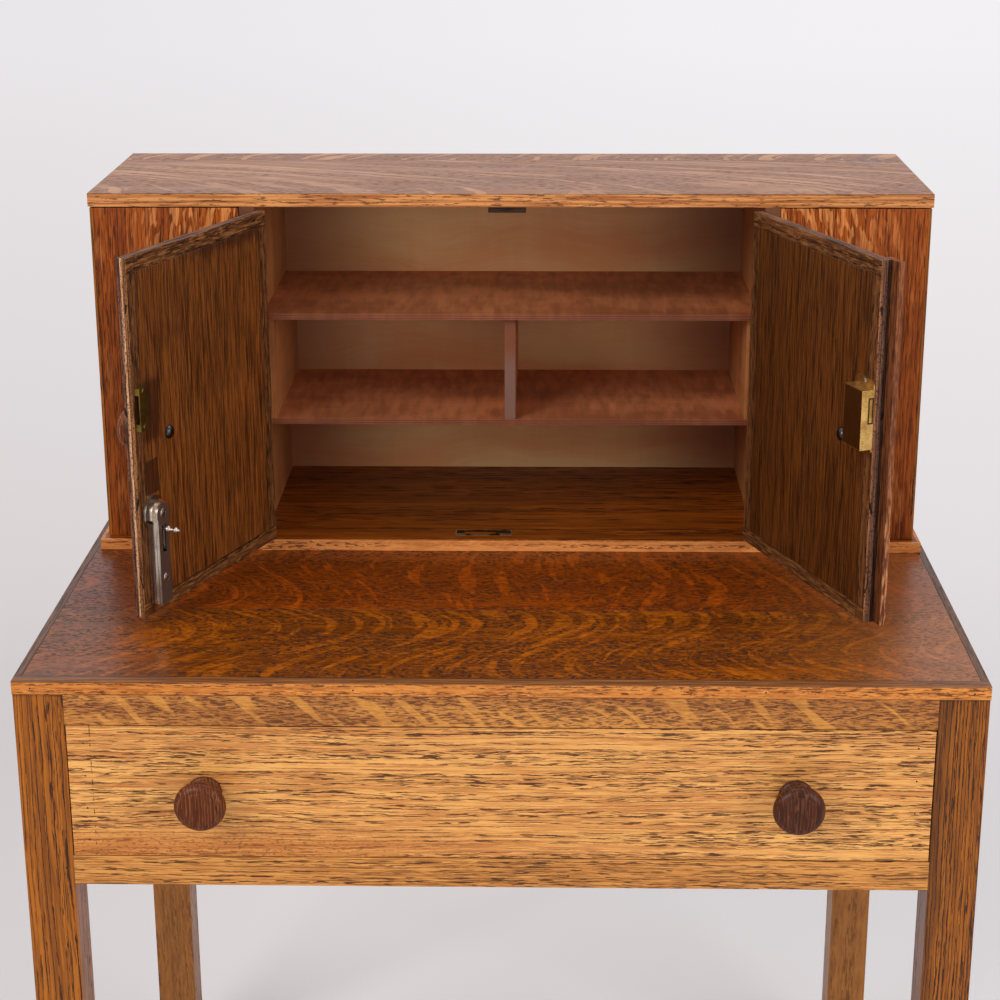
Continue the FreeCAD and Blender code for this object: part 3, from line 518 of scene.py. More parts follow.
def outer_face(net, at, shade):
    """The outer faces of the doors are as warm as the cabinet's front panels."""
    outer = at.y.fall(CABINET_FRONT + 0.0004, CABINET_FRONT + 0.0008)
    return net.mix(outer * 0.3, shade, (122, 54, 6), "ADD")


def stained(net, at, shade):
    """Old marks of earlier fittings on the left door's inner face."""
    shade = outer_face(net, at, shade)
    inner = at.y.step(DOOR_FACE - 0.0012, DOOR_FACE - 0.0004)
    away = CABINET_CENTRE - at.x
    ragged = net.noise((at.x, at.z, at.y), (260, 60, 3), 5.0, 3.0, 0.6)
    for centre, half, low_z, high_z, soft, strength in (
            (0.0206, 0.0145, TABLE_TOP + 0.126, TABLE_TOP + 0.158, 0.0012, 0.75),
            (0.029, 0.013, TABLE_TOP + 0.176, TABLE_TOP + 0.232, 0.008, 0.7)):
        spot = inner
        for value, middle, reach in ((away, centre, half),
                                     (at.z, (low_z + high_z) / 2, (high_z - low_z) / 2)):
            aside = net.mul_add(ragged, soft, abs(value - middle))
            spot = spot * aside.fall(reach, reach + soft * 1.2)
        shade = net.mix(spot * strength, shade, (42, 14, 6))
    below = net.mul_add(ragged - 0.5, 0.03, DOOR_TOP - 0.013 - at.z)
    smear = below.fall(0.004, 0.016) * away.step(0.07, 0.14) * inner
    return net.mix(smear * 0.65, shade, (38, 18, 10))


OAK = {}
TOP = {"fibre_share": 0.75, "rows": (3, 40), "row_gate": (0.3, 0.5), "ring_share": 0.0, "rag": 0.002,
       "rough": 0.34, "coat": 0.15, "depth": 0.04}
OAK["top_front"] = oak(
    "desk top oak front", "xyz", (150, 74, 2), (94, 43, 1), (34, 15, 1),
    fibre=(90, 340), band=(6, 30), contrast=1.7, pores=(200, 460), gate=(0.52, 0.58),
    fleck=winding((-0.167, -0.113), (0.13, 0.082), (0.06, 0.03), 0.011, 1.0, 0.53, 0.6),
    fleck_colour=(204, 106, 8), fleck_share=0.55, seed=1.0, strength=0.9,
    extra=joints_and_painted_light([("y", BOARD_JOINT, 0.0018), ("y", LIPPING_JOINT, 0.002)], (34, 17, 4)), **TOP)
OAK["top_rear"] = oak(
    "desk top oak rear", "xyz", (154, 68, 1), (102, 42, 1), (42, 17, 1),
    fibre=(80, 320), band=(6, 26), contrast=1.6, pores=(200, 440), gate=(0.52, 0.59),
    fleck=winding((0.065, -0.085), (0.10, 0.12), (-0.05, 0.04), 0.012, 6.0, 0.55, 0.62),
    fleck_colour=(206, 92, 6), fleck_share=0.5, seed=9.0, strength=0.8,
    extra=joints_and_painted_light([("y", BOARD_JOINT, 0.0018)], (34, 17, 4)), **TOP)
OAK["lip_x"] = oak(
    "lipping oak", "xyz", (236, 154, 73), (184, 104, 36), (84, 36, 12),
    swap=lipping_turn, fibre=(50, 560), spacing=3.4, ring_share=0.45, torn=(60, 420), rows=(3, 300),
    pores=(90, 1150), gate=(0.53, 0.6), strength=0.85, seed=4.0, rag=0.0014, extra=top_edges)
for side, spacing, gap, gates in (("left", 5.3, 18, (0.83, 0.975)), ("right", 3.1, 26, (0.6, 0.95))):
    OAK["leg_" + side] = oak(
        "leg oak " + side, "zxy", (182, 104, 24), (124, 66, 13), (38, 18, 6),
        fibre=(14, 460), contrast=1.1, spacing=spacing, ring_share=0.9, ring_gate=gates,
        torn=(gap, 220), torn_gate=(0.37, 0.46), rows=(1.5, 260), row_gate=(0.48, 0.58),
        pores=(56, 980), strength=0.9, seed=2.0, rag=0.0014, extra=leg_tones(side))
OAK["leg_rear"] = oak(
    "rear leg oak", "zxy", (174, 112, 52), (134, 82, 36), (88, 50, 22),
    fibre=(40, 260), spacing=9.0, ring_share=0.2, rows=(2, 150), pores=(70, 420), seed=2.5,
    strength=0.5, extra=rear_leg_tones)
OAK["top_rail"] = oak(
    "top rail oak", "xzy", (212, 142, 68), (156, 92, 40), (80, 42, 24),
    fibre=(60, 560), band=(3, 60), contrast=1.3, rows=(3, 60), row_gate=(0.3, 0.42), pores=(140, 1080),
    gate=(0.5, 0.56), ring_share=0.0, strength=0.8,
    fleck=slanting(1.15, 0.018, 0.045, 0.54, 0.62, 2.0, 0.7), fleck_colour=(224, 154, 68),
    fleck_share=0.7, seed=3.0, rag=0.0012)
OAK["bottom_rail"] = oak(
    "bottom rail oak", "xzy", (236, 164, 84), (176, 110, 48), (76, 42, 20),
    fibre=(24, 620), contrast=1.4, spacing=3.4, ring_share=0.75, ring_gate=(0.7, 0.95),
    torn=(26, 300), rows=(1.5, 240), pores=(60, 1000), seed=6.0, strength=0.95, rag=0.0012)
OAK["drawer"] = oak(
    "drawer front oak", "xzy", (249, 184, 102), (192, 120, 60), (66, 32, 14),
    fibre=(22, 760), band=(3, 110), fibre_share=0.66, contrast=1.1, spacing=4.6, ring_share=0.95,
    ring_gate=(0.9, 0.99), torn=(22, 260), torn_gate=(0.46, 0.53), rows=(3, 190),
    row_gate=(0.4, 0.52), pores=(62, 1080), gate=(0.535, 0.585), seed=7.0, tone=0.2, strength=0.92,
    sway=0.014, rag=0.0016, extra=drawer_marks)
OAK["apron"] = oak(
    "apron oak", "yzx", (158, 96, 36), (112, 60, 20), (58, 32, 12),
    fleck=slanting(0.5, 0.03, 0.05, 0.57, 0.68, 3.0, 1.2), fleck_colour=(176, 112, 46),
    fleck_share=0.4, seed=8.0)
OAK["apron_rear"] = oak(
    "rear apron oak", "xzy", (158, 96, 36), (112, 60, 20), (58, 32, 12), seed=12.0)
for side, sign in (("left", -1), ("right", 1)):
    OAK["panel_" + side] = oak(
        "cabinet front oak " + side, "zxy", (190, 96, 30), (124, 56, 20), (52, 22, 16),
        fibre=(34, 460), band=(3, 110), contrast=1.15, spacing=3.7, ring_share=0.7, torn=(30, 300),
        rows=(3, 120), row_gate=(0.38, 0.5), pores=(40, 820), gate=(0.53, 0.6), strength=0.75,
        fleck=panel_flecks(sign), fleck_colour=(230, 148, 82), fleck_share=0.85,
        seed=10.0 + sign, coat=0.0, specular=0.12, extra=panel_foot)
OAK["end"] = oak(
    "cabinet end oak", "zyx", (168, 90, 30), (112, 56, 16), (54, 27, 10),
    seed=11.0)
OAK["cabinet_top"] = oak(
    "cabinet top oak", "xyz", (152, 96, 54), (118, 70, 36), (60, 36, 22),
    fibre=(40, 300), band=(4, 30), rows=(3, 30), row_gate=(0.34, 0.54), pores=(110, 520),
    gate=(0.52, 0.6), ring_share=0.0, fleck=cap_flecks, fleck_colour=(196, 140, 98),
    fleck_share=0.8, seed=13.0, rough=0.42, coat=0.15, strength=0.5, depth=0.05,
    extra=cabinet_top_edge)
OAK["base_board"] = oak(
    "cabinet floor oak", "xyz", (174, 88, 16), (112, 52, 6), (42, 20, 4),
    fibre=(12, 220), band=(2, 60), contrast=1.1, spacing=9.0, ring_share=0.6, torn=(24, 160),
    rows=(1.5, 120), pores=(34, 460), seed=14.0)
OAK["base_lip"] = oak(
    "cabinet base lipping oak", "xyz", (246, 162, 88), (206, 122, 60), (120, 60, 30),
    fibre=(60, 420), spacing=4.2, ring_share=0.3, torn=(120, 300), rows=(3, 300), pores=(130, 860),
    gate=(0.52, 0.58), seed=15.0)
OAK["runner"] = oak(
    "hidden frame wood", "yxz", (206, 168, 116), (170, 130, 84), (130, 96, 60),
    seed=16.0, rough=0.6, coat=0.0)
for side, light, dark, shift in (("left", (160, 90, 34), (54, 25, 7), 0.0),
                                 ("right", (122, 66, 21), (38, 17, 4), 3.0)):
    OAK["door_" + side] = oak(
        "door oak " + side, "zxy", light, dark, (26, 13, 6),
        door=side + "_door", fibre=(20, 1000), fibre_share=0.92, band=(3, 90), contrast=1.6,
        spacing=2.6, ring_share=0.55, torn=(22, 300), rows=(2, 380), pores=(44, 1100),
        seed=17.0 + shift, tone=0.3, strength=0.4, rag=0.0008,
        extra=stained if side == "left" else outer_face)
    OAK["door_lip_" + side] = oak(
        "door lipping oak " + side, "zxy", (128, 78, 40), (70, 38, 18), (28, 15, 9),
        door=side + "_door", swap=door_swap, fibre=(40, 420), contrast=1.2, spacing=4.0,
        ring_share=0.6, torn=(70, 300), pores=(90, 760), gate=(0.5, 0.58), seed=20.0,
        rough=0.62, coat=0.0, specular=0.1, extra=door_edges(side))
OAK["cover_strip"] = oak(
    "cover strip oak", "zxy", (150, 80, 34), (92, 44, 18), (44, 22, 12),
    door="right_door", pores=(60, 760), spacing=4.0, seed=22.0, rough=0.62, coat=0.0,
    specular=0.1, extra=strip_edge)
OAK["block"] = oak(
    "stop block oak", "xzy", (84, 48, 24), (52, 28, 14), (30, 16, 8), seed=33.0)


def ply(name, axes, light, dark, seed, ends, ribs=0.15, rib=(70, 9, 9)):
    """Smooth-faced plywood with a soft swirling figure and cross ribs."""
    net = Net(name)
    at = net.place()
    u, v, w = (getattr(at, axis) for axis in axes)
    v = net.mul_add(net.noise((u, v, w), (5, 7, 7), seed), 0.08, v)
    soft = net.noise((u, v, w), (3.5, 15, 15), seed + 2, 3.0, 0.5)
    fine = net.noise((u, v, w), (24, 500, 500), seed + 4)
    cross = net.noise((u, v, w), rib, seed + 8)
    value = net.mul_add(cross, ribs, soft * (0.85 - ribs) + fine * 0.15)
    shade = net.mix(value.step(0.36, 0.64), dark, light)
    net.set(net.bsdf, {
        "Base Color": ends(net, at, shade), "Roughness": net.mul_add(soft, 0.2, 0.4),
        "Specular IOR Level": 0.3})
    net.bump(fine, 0.04 * MM)
    return net.mat


def back_painted_shade(net, at, shade):
    """The back has painted shade towards its sides and just under each shelf and the ceiling, so it is
    lighter in the middle and low in each bay; its outer face is duller all over."""
    plain = net.mix(0.8, shade, (118, 72, 38))
    away = abs(at.x - CABINET_CENTRE)
    # Painted shade towards the sides of the back
    shade = net.mix(away.step(0.09, 0.25) * 0.85, shade, (132, 66, 34))
    for place in (low("shelf_upper")[2], low("shelf_lower")[2], CABINET_CEILING):
        under = place - at.z
        near = under.step(-0.002, 0.002) * under.fall(0.004, 0.062)
        # Painted shade just under each shelf and under the ceiling
        shade = net.mix(near * 0.6, shade, (146, 76, 42))
    outside = at.y.step(BACK_INNER + 0.0006, BACK_INNER + 0.0012)
    return net.mix(outside, shade, plain)


def shelf_edges(net, at, shade):
    """Front edges of the shelves show the layers of the board as two fine dark lines."""
    for name in ("shelf_upper", "shelf_lower", "shelf_divider"):
        front = low(name)[1]
        base = low(name)[2]
        face = at.y.line(front, 0.001)
        if name == "shelf_divider":
            middle = abs(at.x - (low(name)[0] + high(name)[0]) / 2)
            thin = middle.fall(0.0056, 0.006)
            front_edge = thin * at.z.step(base - 0.0004, base) * face
            shade = net.mix(front_edge * 0.6, shade, (118, 66, 40))
            # Painted highlight: a grey sheen low on the divider's front edge
            divider_painted_sheen = at.z.fall(base + 0.05, base + 0.08) * front_edge
            shade = net.mix(divider_painted_sheen * 0.6, shade, (128, 102, 92))
            continue
        shade = net.mix(face * 0.7, shade, (112, 56, 34))
        for share in (0.3, 0.7):
            line = at.z.line(base + share * (high(name)[2] - base), 0.0007) * face
            shade = net.mix(line * 0.6, shade, (70, 34, 20))
    return shade


def partition_edges(net, at, shade):
    """The front edges of the partitions are stained like the cabinet's face."""
    front = at.y.fall(CABINET_FRONT + 0.001, CABINET_FRONT + 0.003)
    return net.mix(front * 0.8, shade, (92, 52, 30))


PLY_BACK = ply("plywood back", "xzy", (254, 206, 142), (246, 170, 108), 1.0, back_painted_shade, ribs=0.1)
PLY_SHELF = ply("plywood shelf", "xyz", (212, 132, 84), (160, 92, 56), 5.0, shelf_edges, ribs=0.4,
                rib=(110, 22, 22))
PLY_SIDE = ply("plywood side", "zyx", (184, 118, 68), (140, 82, 42), 9.0, partition_edges)


def metal(name, base, dark, rough, seed=0.0, brushed=(200, 200, 20), door=None, extra=None,
          dull=None, coat=0.0):
    """Metal with cloudy tones; where the dull mask is 1 it is rougher and hardly metallic."""
    net = Net(name)
    at = net.place(door)
    fine = net.noise(at, brushed, seed, 3.0)
    cloud = net.noise(at, (60, 60, 60), seed + 3, 4.0, 0.6)
    shade = net.mix(cloud.step(0.35, 0.7), base, dark)
    if extra:
        shade = extra(net, at, shade)
    gloss = net.mul_add(cloud, 0.25, rough - 0.1)
    metallic = 1.0
    if dull:
        mask = dull(net, at)
        gloss = net.mul_add(mask, 0.2, gloss)
        metallic = 1.0 - mask * 0.8
    net.set(net.bsdf, {"Base Color": shade, "Roughness": gloss, "Metallic": metallic,
                       "Coat Weight": coat, "Coat Roughness": 0.12})
    net.bump(fine, 0.02 * MM, 0.4)
    return net.mat


def lock_painted_light(net, at, shade):
    """The lock's face is darkened as a painted reflection of the dark door and table, its edges carry
    painted highlights, and a line of painted shade frames the bolt.
    """
    face = at.y.step(DOOR_FACE + 0.0121, DOOR_FACE + 0.0124)
    # Painted reflection: the face is darkened as if it mirrored the dark door and table
    shade = net.mix(face * 0.8, shade, (104, 68, 28))
    # Painted highlights along the edges of the face
    edge_highlight = strongest(net, at.x.line(LOCK_X, 0.0009), at.x.line(LOCK_X + 0.032, 0.0009),
                       at.z.line(TABLE_TOP + 0.177, 0.0009), at.z.line(TABLE_TOP + 0.232, 0.0009))
    shade = net.mix(edge_highlight * face * 0.8, shade, (232, 196, 124))
    side = at.x.within(LOCK_X, 0.0008)
    # Painted shade in the gap that frames the bolt
    bolt_gap_shade = (at.y.within(DOOR_FACE + 0.0032, 0.0028)
                  * at.z.within(TABLE_TOP + 0.2127, 0.0121) * side)
    shade = net.mix(net.spots(at, (900, 900, 900), 0.6, 0.68, 5.0, 1.0) * side, shade, (150, 112, 58))
    return net.mix(bolt_gap_shade * 0.9, shade, (34, 22, 8))


def case_face(net, at):
    return at.y.step(DOOR_FACE + 0.0116, DOOR_FACE + 0.0119)


def case_painted_ribs(net, at, shade):
    """The bolt case: silvery sides with painted dark stripes that stand in for the shade and reflections
    of its ribs, and a dull dark face.
    """
    # Painted stripes of shade and reflection in place of the ribs' own light
    shade = net.mix(net.spots(at, (3, 520, 5), 0.45, 0.54, 4.0, 2.0, 0.6) * 0.65, shade, (84, 64, 50))
    return net.mix(case_face(net, at), shade, (84, 64, 54))


def keep_marks(net, at, shade):
    """Bright edges on the floor plate that takes the bolt: painted highlights, kept to patches where the
    brass is worn.
    """
    (left, front, _), (right, rear, _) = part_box("floor_keep")
    # Painted highlights along the plate's edges
    edge_highlight = strongest(net, at.y.line(front, 0.0022), at.y.line((front + rear) / 2 - 0.0043, 0.0014),
                       at.y.line(rear, 0.0014), at.x.line(left, 0.0016), at.x.line(right, 0.0016))
    worn = net.spots(at, (90, 60, 60), 0.42, 0.54, 2.0, 2.0, 0.6)
    return net.mix(edge_highlight * worn, shade, (236, 226, 190))


BRASS = metal("aged brass", (206, 166, 92), (146, 108, 50), 0.34, 1.0)
LOCK_BRASS = metal("lock brass", (224, 184, 112), (164, 124, 64), 0.34, 1.0,
                   door="right_door", extra=lock_painted_light)
DULL_BRASS = metal("tarnished brass", (124, 102, 46), (72, 58, 24), 0.42, 5.0)
KEEP_BRASS = metal("worn brass", (96, 82, 44), (52, 42, 20), 0.42, 5.0, extra=keep_marks)
NICKEL = metal("worn nickel", (206, 196, 186), (150, 134, 122), 0.26, 2.0)
CASE_NICKEL = metal("case nickel", (230, 218, 204), (180, 164, 148), 0.23, 2.0,
                    brushed=(20, 900, 12), door="left_door", extra=case_painted_ribs, dull=case_face)
STEEL = metal("screw steel", (164, 152, 140), (86, 76, 68), 0.32, 6.0)
IRON = metal("dark steel", (70, 64, 60), (34, 30, 28), 0.45, 3.0)
BLACK_IRON = metal("blackened iron", (46, 46, 52), (14, 14, 18), 0.3, 8.0, coat=1.0)


def dress(thing, material):
    thing.data.materials.clear()
    thing.data.materials.append(material)


# Materials of the frame's own nodes
DRESS = {}
for material, names in (
        (OAK["top_front"], "tabletop_front_board"), (OAK["top_rear"], "tabletop_rear_board"),
        (OAK["lip_x"], "tabletop_lippings"), (OAK["top_rail"], "front_top_rail"),
        (OAK["bottom_rail"], "front_bottom_rail"), (OAK["apron"], "side_apron_left side_apron_right"),
        (OAK["apron_rear"], "rear_apron"), (OAK["drawer"], "drawer_front"),
        (OAK["runner"], "drawer_runners drawer_kickers drawer_stops drawer_side_left drawer_side_right"),
        (OAK["runner"], "drawer_back"), (OAK["base_board"], "cabinet_base_board"),
        (OAK["base_lip"], "cabinet_base_lippings"), (OAK["end"], "cabinet_end_left cabinet_end_right"),
        (OAK["panel_left"], "cabinet_front_panel_left"),
        (OAK["panel_right"], "cabinet_front_panel_right"),
        (OAK["leg_left"], "leg_front_left cabinet_corner_lippings"),
        (OAK["leg_right"], "leg_front_right"), (OAK["leg_rear"], "leg_rear_left leg_rear_right"),
        (OAK["cabinet_top"], "cabinet_top_board cabinet_top_rear_strip"),
        (OAK["block"], "door_stop_block"), (OAK["cover_strip"], "door_right_cover_strip"),
        (OAK["door_left"], "door_left_panel"), (OAK["door_right"], "door_right_panel"),
        (OAK["door_lip_left"], "door_left_lippings"), (OAK["door_lip_right"], "door_right_lippings"),
        (PLY_SIDE, "drawer_bottom cabinet_partition_left cabinet_partition_right shelf_cheeks"),
        (PLY_BACK, "cabinet_back"), (PLY_SHELF, "shelf_upper shelf_lower shelf_divider"),
        (IRON, "drawer_knob_screws drawer_front_pins panel_pins hinge_frame_leaves"),
        (IRON, "door_left_hinge_leaves door_right_hinge_leaves"),
        (IRON, "door_left_knob_screw door_right_knob_screw"), (KEEP_BRASS, "floor_keep"),
        (DULL_BRASS, "strike_plate"), (LOCK_BRASS, "lock_case"), (BRASS, "lock_bolt keyhole_plate"),
        (CASE_NICKEL, "bolt_case"), (NICKEL, "bolt_slide")):
    for name in names.split():
        DRESS[name] = material
        dress(nodes[name], material)

# Edges are softened, but not on metal or on pieces with pins let into them
PINNED = ("drawer_front", "tabletop_lippings", "front_bottom_rail", "leg_front_left")
METALS = ("brass", "nickel", "steel", "iron")
for name, material in DRESS.items():
    if name in PINNED or material.name.split()[-1] in METALS:
        continue
    weld = nodes[name].modifiers.new("weld", "WELD")
    weld.merge_threshold = 0.00001
    bevel = nodes[name].modifiers.new("soft edges", "BEVEL")
    bevel.width = 0.5 * MM
    bevel.segments = 2
    bevel.limit_method = "ANGLE"
    bevel.angle_limit = math.radians(50)
    bevel.use_clamp_overlap = False


# Turned knobs
KNOB_WOOD = {}
for tone, light, dark, pale in (
        ("light", (106, 47, 12), (72, 28, 5), (158, 98, 54)),
        ("dark", (86, 38, 14), (52, 21, 8), (126, 78, 48)),
        ("door", (124, 62, 24), (82, 38, 14), (182, 118, 70))):
    KNOB_WOOD[tone] = oak("knob oak " + tone, "zxy", light, dark, pale, fibre=(30, 500),
                          band=(6, 160), spacing=3.0, ring_share=0.5, torn=(60, 400),
                          rows=(6, 260), pores=(60, 700), gate=(0.55, 0.61), strength=0.45,
                          seed=31.0, rough=0.5 if tone == "door" else 0.38,
                          coat=0.0 if tone == "door" else 0.08, specular=0.16, depth=0.05)


def placed(name, data):
    thing = bpy.data.objects.new(name, data)
    bpy.context.scene.collection.objects.link(thing)
    return thing


def built(name, build):
    """Object made of a finished bmesh."""
    bmesh.ops.recalc_face_normals(build, faces=build.faces)
    mesh = bpy.data.meshes.new(name)
    build.to_mesh(mesh)
    build.free()
    return placed(name, mesh)


def ring(build, radius, height, turns, sign=1):
    """New vertices around Z; a sign of -1 mirrors them in X."""
    return [build.verts.new((sign * radius * math.cos(turn), radius * math.sin(turn), height))
            for turn in turns]


def skin(build, rings):
    """Faces between rings that follow each other; a ring of one vertex is a tip."""
    for lower, upper in zip(rings, rings[1:]):
        steps = max(len(lower), len(upper))
        for index in range(steps):
            after = (index + 1) % steps
            corners = (lower[index % len(lower)], lower[after % len(lower)],
                       upper[after % len(upper)], upper[index % len(upper)])
            build.faces.new(list(dict.fromkeys(corners)))


def lathe(name, outline, steps=72, ring_shaped=False):
    """Turns pairs of radius and height about Z into a smooth closed mesh."""
    build = bmesh.new()
    turns = [2 * math.pi * index / steps for index in range(steps)]
    rings = [ring(build, radius, height, turns if radius else [0.0]) for radius, height in outline]
    if ring_shaped:
        rings.append(rings[0])
    skin(build, rings)
    thing = built(name, build)
    for face in thing.data.polygons:
        face.use_smooth = True
    return thing


def arc(start, middle, end, steps):
    """Points on the circle through three points of an outline, the first one left out."""
    (x1, y1), (x2, y2), (x3, y3) = start, middle, end
    d = 2 * (x1 * (y2 - y3) + x2 * (y3 - y1) + x3 * (y1 - y2))
    a, b, c = x1 * x1 + y1 * y1, x2 * x2 + y2 * y2, x3 * x3 + y3 * y3
    cx = (a * (y2 - y3) + b * (y3 - y1) + c * (y1 - y2)) / d
    cy = (a * (x3 - x2) + b * (x1 - x3) + c * (x2 - x1)) / d
    radius = math.hypot(x1 - cx, y1 - cy)
    first = math.atan2(y1 - cy, x1 - cx)
    mid = math.atan2(y2 - cy, x2 - cx)
    last = math.atan2(y3 - cy, x3 - cx)
    sweep = (last - first) % (2 * math.pi)
    if (mid - first) % (2 * math.pi) > sweep:
        sweep -= 2 * math.pi
    points = []
    for index in range(1, steps + 1):
        turn = first + sweep * index / steps
        points.append((cx + radius * math.cos(turn), cy + radius * math.sin(turn)))
    return points


def knob_outline(radius, stand):
    shares = [(0.0, 0.0), (0.645, 0.0)]
    shares += arc((0.645, 0.0), (0.685, 0.06), (0.625, 0.12), 8)
    shares += arc((0.625, 0.12), (0.5, 0.33), (0.66, 0.57), 14)
    outline = [(x * radius, z * stand) for x, z in shares]
    outline += arc((0.66 * radius, 0.57 * stand), (0.998 * radius, 0.8 * stand),
                   (0.715 * radius, 0.962 * stand), 26)
    outline += [(0.695 * radius, 0.957 * stand), (0.684 * radius, 0.962 * stand),
                (0.68 * radius, 0.975 * stand), (0.672 * radius, 0.98 * stand)]
    for share in (0.6, 0.5, 0.4, 0.3, 0.2, 0.1):
        outline.append((share * radius, (0.999 - 0.044 * share * share) * stand))
    outline.append((0.0, 0.999 * stand))
    return outline


def turned(degrees, axis):
    return Matrix.Rotation(math.radians(degrees), 4, axis)


def faced_front(x, y, z):
    """A piece drawn along Z then stands out to the front from this place."""
    return Matrix.Translation((x, y, z)) @ turned(90, "X")


def opened(body):
    """From a door's shut position to the pose of the frame."""
    axis, angle = HINGES[body]
    return Matrix.Translation(axis) @ Matrix.Rotation(-angle, 4, "Z") @ Matrix.Translation(-axis)


def finish_piece(thing, body, material, slot, *replaced):
    """Dresses a piece, fixes it to its body and hides the nodes that it replaces; the slot is not used.
    """
    dress(thing, material)
    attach(thing, body)
    if replaced:
        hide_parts(*replaced)


(knob_left, knob_tip, knob_low), (knob_right, knob_foot, knob_high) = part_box("drawer_knobs")
knob_radius = (knob_high - knob_low) / 2
knob_stand = knob_foot - knob_tip
for side, x, tone, degrees in (("left", knob_left + knob_radius, "light", 12),
                               ("right", knob_right - knob_radius, "dark", -40)):
    knob = lathe("drawer_knob_" + side, knob_outline(knob_radius, knob_stand))
    knob.data.transform(faced_front(x, knob_foot, (knob_low + knob_high) / 2) @ turned(degrees, "Z"))
    finish_piece(knob, "drawer", KNOB_WOOD[tone], "knob_wood", "drawer_knobs")

DOOR_SIDE = {"left": -1, "right": 1}
HALF_GAP = 0.4 * MM
DOOR_KNOB_RADIUS = 19.5 * MM
DOOR_KNOB_SPOT = (56.0, 176.0)


def on_door(side, along, height):
    """Place on a shut door's outer face, in millimetres from its free edge and the table top."""
    x = CABINET_CENTRE + DOOR_SIDE[side] * (HALF_GAP + along * MM)
    return Vector((x, CABINET_FRONT, TABLE_TOP + height * MM))


for side in ("left", "right"):
    body = side + "_door"
    knob = lathe("door_knob_" + side, knob_outline(DOOR_KNOB_RADIUS, knob_stand))
    knob.data.transform(opened(body) @ faced_front(*on_door(side, *DOOR_KNOB_SPOT)))
    finish_piece(knob, body, KNOB_WOOD["door"], "knob_wood", "door_%s_knob" % side)


def inner_face(side, along, height, proud):
    """A piece drawn along Z then stands this proud of an opened door's inner face."""
    spot = on_door(side, along, height)
    spot.y = DOOR_FACE + proud * MM
    return opened(side + "_door") @ Matrix.Translation(spot) @ turned(-90, "X")


def fastener(name, radius, height, slot, steps=20):
    """Slotted screw head standing on z = 0: two rounded halves on a disc."""
    build = bmesh.new()
    for sign in (-1, 1):
        loops = []
        for share, level in ((1.0, 0.0), (1.0, 0.4), (0.94, 0.75), (0.72, 1.0)):
            limit = math.acos(slot / 2 / (radius * share))
            turns = [-limit + 2 * limit * index / steps for index in range(steps + 1)]
            loops.append(ring(build, radius * share, level * height, turns, sign))
        skin(build, loops)
        build.faces.new(loops[-1])
        build.faces.new(loops[0])
    turns = [math.pi * index / steps for index in range(2 * steps)]
    discs = [ring(build, 0.98 * radius, level, turns) for level in (0.0, 0.35 * height)]
    for disc in discs:
        build.faces.new(disc)
    skin(build, discs)
    return built(name, build)


def screw_set(prefix, side, along, heights, proud, radius, material, slot, collar=None):
    """Screw heads in a row up a door, each turned further; sizes and places in millimetres."""
    for index, height in enumerate(heights):
        stand = inner_face(side, along, height, proud)
        head = fastener("%s_screw_%d" % (prefix, index + 1), radius * MM, 1.15 * MM, 0.8 * MM)
        head.data.transform(stand @ turned(35 + 70 * index, "Z"))
        finish_piece(head, side + "_door", material, slot)
        if collar:
            inside, outside = radius * MM, collar * MM
            rim = lathe("%s_collar_%d" % (prefix, index + 1), [
                (inside, 0.0), (inside + 0.15 * MM, 0.35 * MM), (inside * 0.5 + outside * 0.5, 0.6 * MM),
                (outside - 0.2 * MM, 0.4 * MM), (outside, 0.0)], 48, True)
            rim.data.transform(stand)
            finish_piece(rim, side + "_door", NICKEL, "nickel")


screw_set("bolt_case", "left", along=20.6, heights=(47.6, 109.6), proud=12.0, radius=3.1,
          material=STEEL, slot="iron", collar=4.7)
screw_set("strike", "left", along=7.9, heights=(194.1, 226.9), proud=5.85, radius=2.7,
          material=DULL_BRASS, slot="brass")
screw_set("lock", "right", along=16.8, heights=(173.75, 236.0), proud=1.4, radius=3.0,
          material=STEEL, slot="iron")
RIVET_HEIGHTS = (181, 186, 191, 196, 228.5)
RIVET_LINE = DOOR_FACE + 9.8 * MM
for index, height in enumerate(RIVET_HEIGHTS):
    rivet = lathe("lock_rivet_%d" % (index + 1), [
        (0.0, 0.0), (0.75 * MM, 0.0), (0.62 * MM, 0.2 * MM), (0.3 * MM, 0.34 * MM), (0.0, 0.38 * MM)], 16)
    spot = Vector((LOCK_X, RIVET_LINE, TABLE_TOP + height * MM))
    rivet.data.transform(opened("right_door") @ Matrix.Translation(spot) @ turned(-90, "Y"))
    finish_piece(rivet, "right_door", BRASS, "brass")
DOME_RADIUS, DOME_RIM, DOME_RISE = 6.4 * MM, 0.5 * MM, 4.0 * MM
dome = [(0.0, 0.0), (6.1 * MM, 0.0), (DOME_RADIUS, DOME_RIM)]
for index in range(1, 12):
    turn = math.pi / 2 * index / 12
    dome.append((DOME_RADIUS * math.cos(turn), DOME_RIM + DOME_RISE * math.sin(turn)))
dome.append((0.0, DOME_RIM + DOME_RISE))
for side in ("left", "right"):
    head = lathe("door_knob_fixing_" + side, dome)
    head.data.transform(inner_face(side, *DOOR_KNOB_SPOT, 0.0))
    finish_piece(head, side + "_door", BLACK_IRON, "iron", "door_%s_knob_screw" % side)


def look(place, yaw, pitch, roll):
    """Looks from a place to the rear, turned to the right, down and over by these radians."""
    forward = Vector((math.sin(yaw) * math.cos(pitch), math.cos(yaw) * math.cos(pitch), -math.sin(pitch)))
    right = Vector((math.cos(yaw), -math.sin(yaw), 0))
    up = right.cross(forward)
    side = math.cos(roll) * right + math.sin(roll) * up
    top = math.cos(roll) * up - math.sin(roll) * right
    turn = Matrix((side, top, -forward)).transposed().to_4x4()
    return Matrix.Translation(place) @ turn


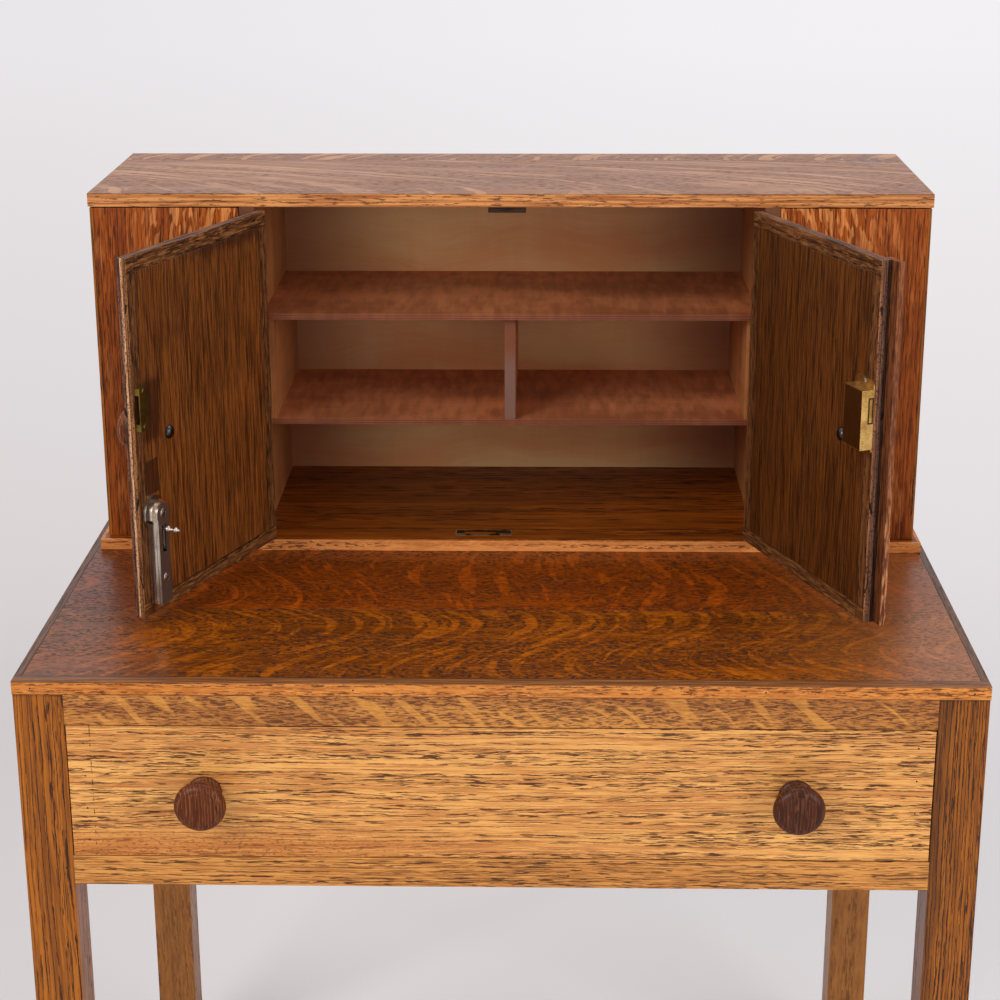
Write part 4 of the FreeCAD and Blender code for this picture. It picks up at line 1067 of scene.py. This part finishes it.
# Camera solved from the photograph
CAMERA_PLACE = Vector((0.0384, -2.00723, 1.48049))
CAMERA_TURNS = (-0.0216, 0.31554, -0.00254)
FOCAL_LENGTH = 77.604
lens = bpy.data.cameras.new("camera")
lens.sensor_width = 36.0
lens.lens = FOCAL_LENGTH
camera = placed("camera", lens)
camera.matrix_world = look(CAMERA_PLACE, *CAMERA_TURNS)
bpy.context.scene.camera = camera

# Floor that fades into the backdrop, with painted shade near the desk and at the left
floor_mesh = bpy.data.meshes.new("floor")
HALF = 40
floor_mesh.from_pydata([(-HALF, -HALF, 0), (HALF, -HALF, 0), (HALF, HALF, 0), (-HALF, HALF, 0)], [],
                       [(0, 1, 2, 3)])
floor = placed("floor", floor_mesh)
net = Net("pale floor")
at = net.place()
distance = net.math("SQRT", at.x * at.x + at.y * at.y)
doublings = net.math("LOGARITHM", net.max(distance, 1.0), 2.0)
# Painted shade: the floor is darker near the desk and lighter far off
painted_floor_shading = net.mix(net.math("MULTIPLY", doublings, 0.28, clamp=True), (216, 209, 209), (243, 240, 243))
lean = at.x / (net.max(at.y, -1.0) + 2.1)
close = distance.fall(0.9, 2.2)
# Painted shade on the left and painted light on the right, both strongest near the desk
left = net.mix(net.mul_add(close, 0.2, 0.11), painted_floor_shading, (120, 102, 98))
right = net.mix(net.mul_add(close, 0.5, 0.05), painted_floor_shading, (250, 248, 250))
painted_floor_shading = net.mix(lean.step(-0.3, 0.14), left, right)
lit = net.set(net.bsdf, {"Base Color": net.mix(0.55, painted_floor_shading, (255, 250, 250)), "Roughness": 0.8,
                         "Specular IOR Level": 0.2})
glow = net.set(net.add("ShaderNodeEmission"), {"Color": painted_floor_shading})
blend = net.fill(net.add("ShaderNodeMixShader"), (distance.step(0.9, 2.4), lit, glow))
net.put(net.out.inputs[0], blend)
floor_mesh.materials.append(net.mat)

# The backdrop is seen, also in reflections, and gives a softer light of its own
net = Net("studio", world=True)
bpy.context.scene.world = net.mat
paths = net.add("ShaderNodeLightPath")
seen = net.math("ADD", net.wire(paths, "Is Camera Ray"), net.wire(paths, "Is Glossy Ray"), clamp=True)
through = net.math("ADD", seen, net.wire(paths, "Is Transmission Ray"), clamp=True)
soft = net.set(net.add("ShaderNodeBackground"), {"Color": (0.95, 0.97, 1.0, 1.0), "Strength": 0.45})
backdrop = net.set(net.add("ShaderNodeBackground"), {"Color": colour(242, 239, 242), "Strength": 1.0})
net.put(net.out.inputs[0], net.fill(net.add("ShaderNodeMixShader"), (through, soft, backdrop)))


def softbox(name, place, target, size, power):
    light = bpy.data.lights.new(name, "AREA")
    light.shape = "RECTANGLE"
    light.size, light.size_y = size
    light.energy = power
    lamp = placed(name, light)
    lamp.matrix_world = Matrix.Translation(place) @ (
        (Vector(target) - Vector(place)).to_track_quat("-Z", "Y").to_matrix().to_4x4())


softbox("key", (-2.2, -2.6, 2.9), (0, 0, 0.8), (2.0, 2.0), 75)
softbox("fill", (2.6, -2.4, 2.0), (0, 0, 0.8), (2.2, 2.2), 42)
softbox("overhead", (0.2, 0.6, 3.4), (0, 0, 0.8), (2.4, 1.6), 30)

bpy.context.scene.view_settings.view_transform = "Standard"
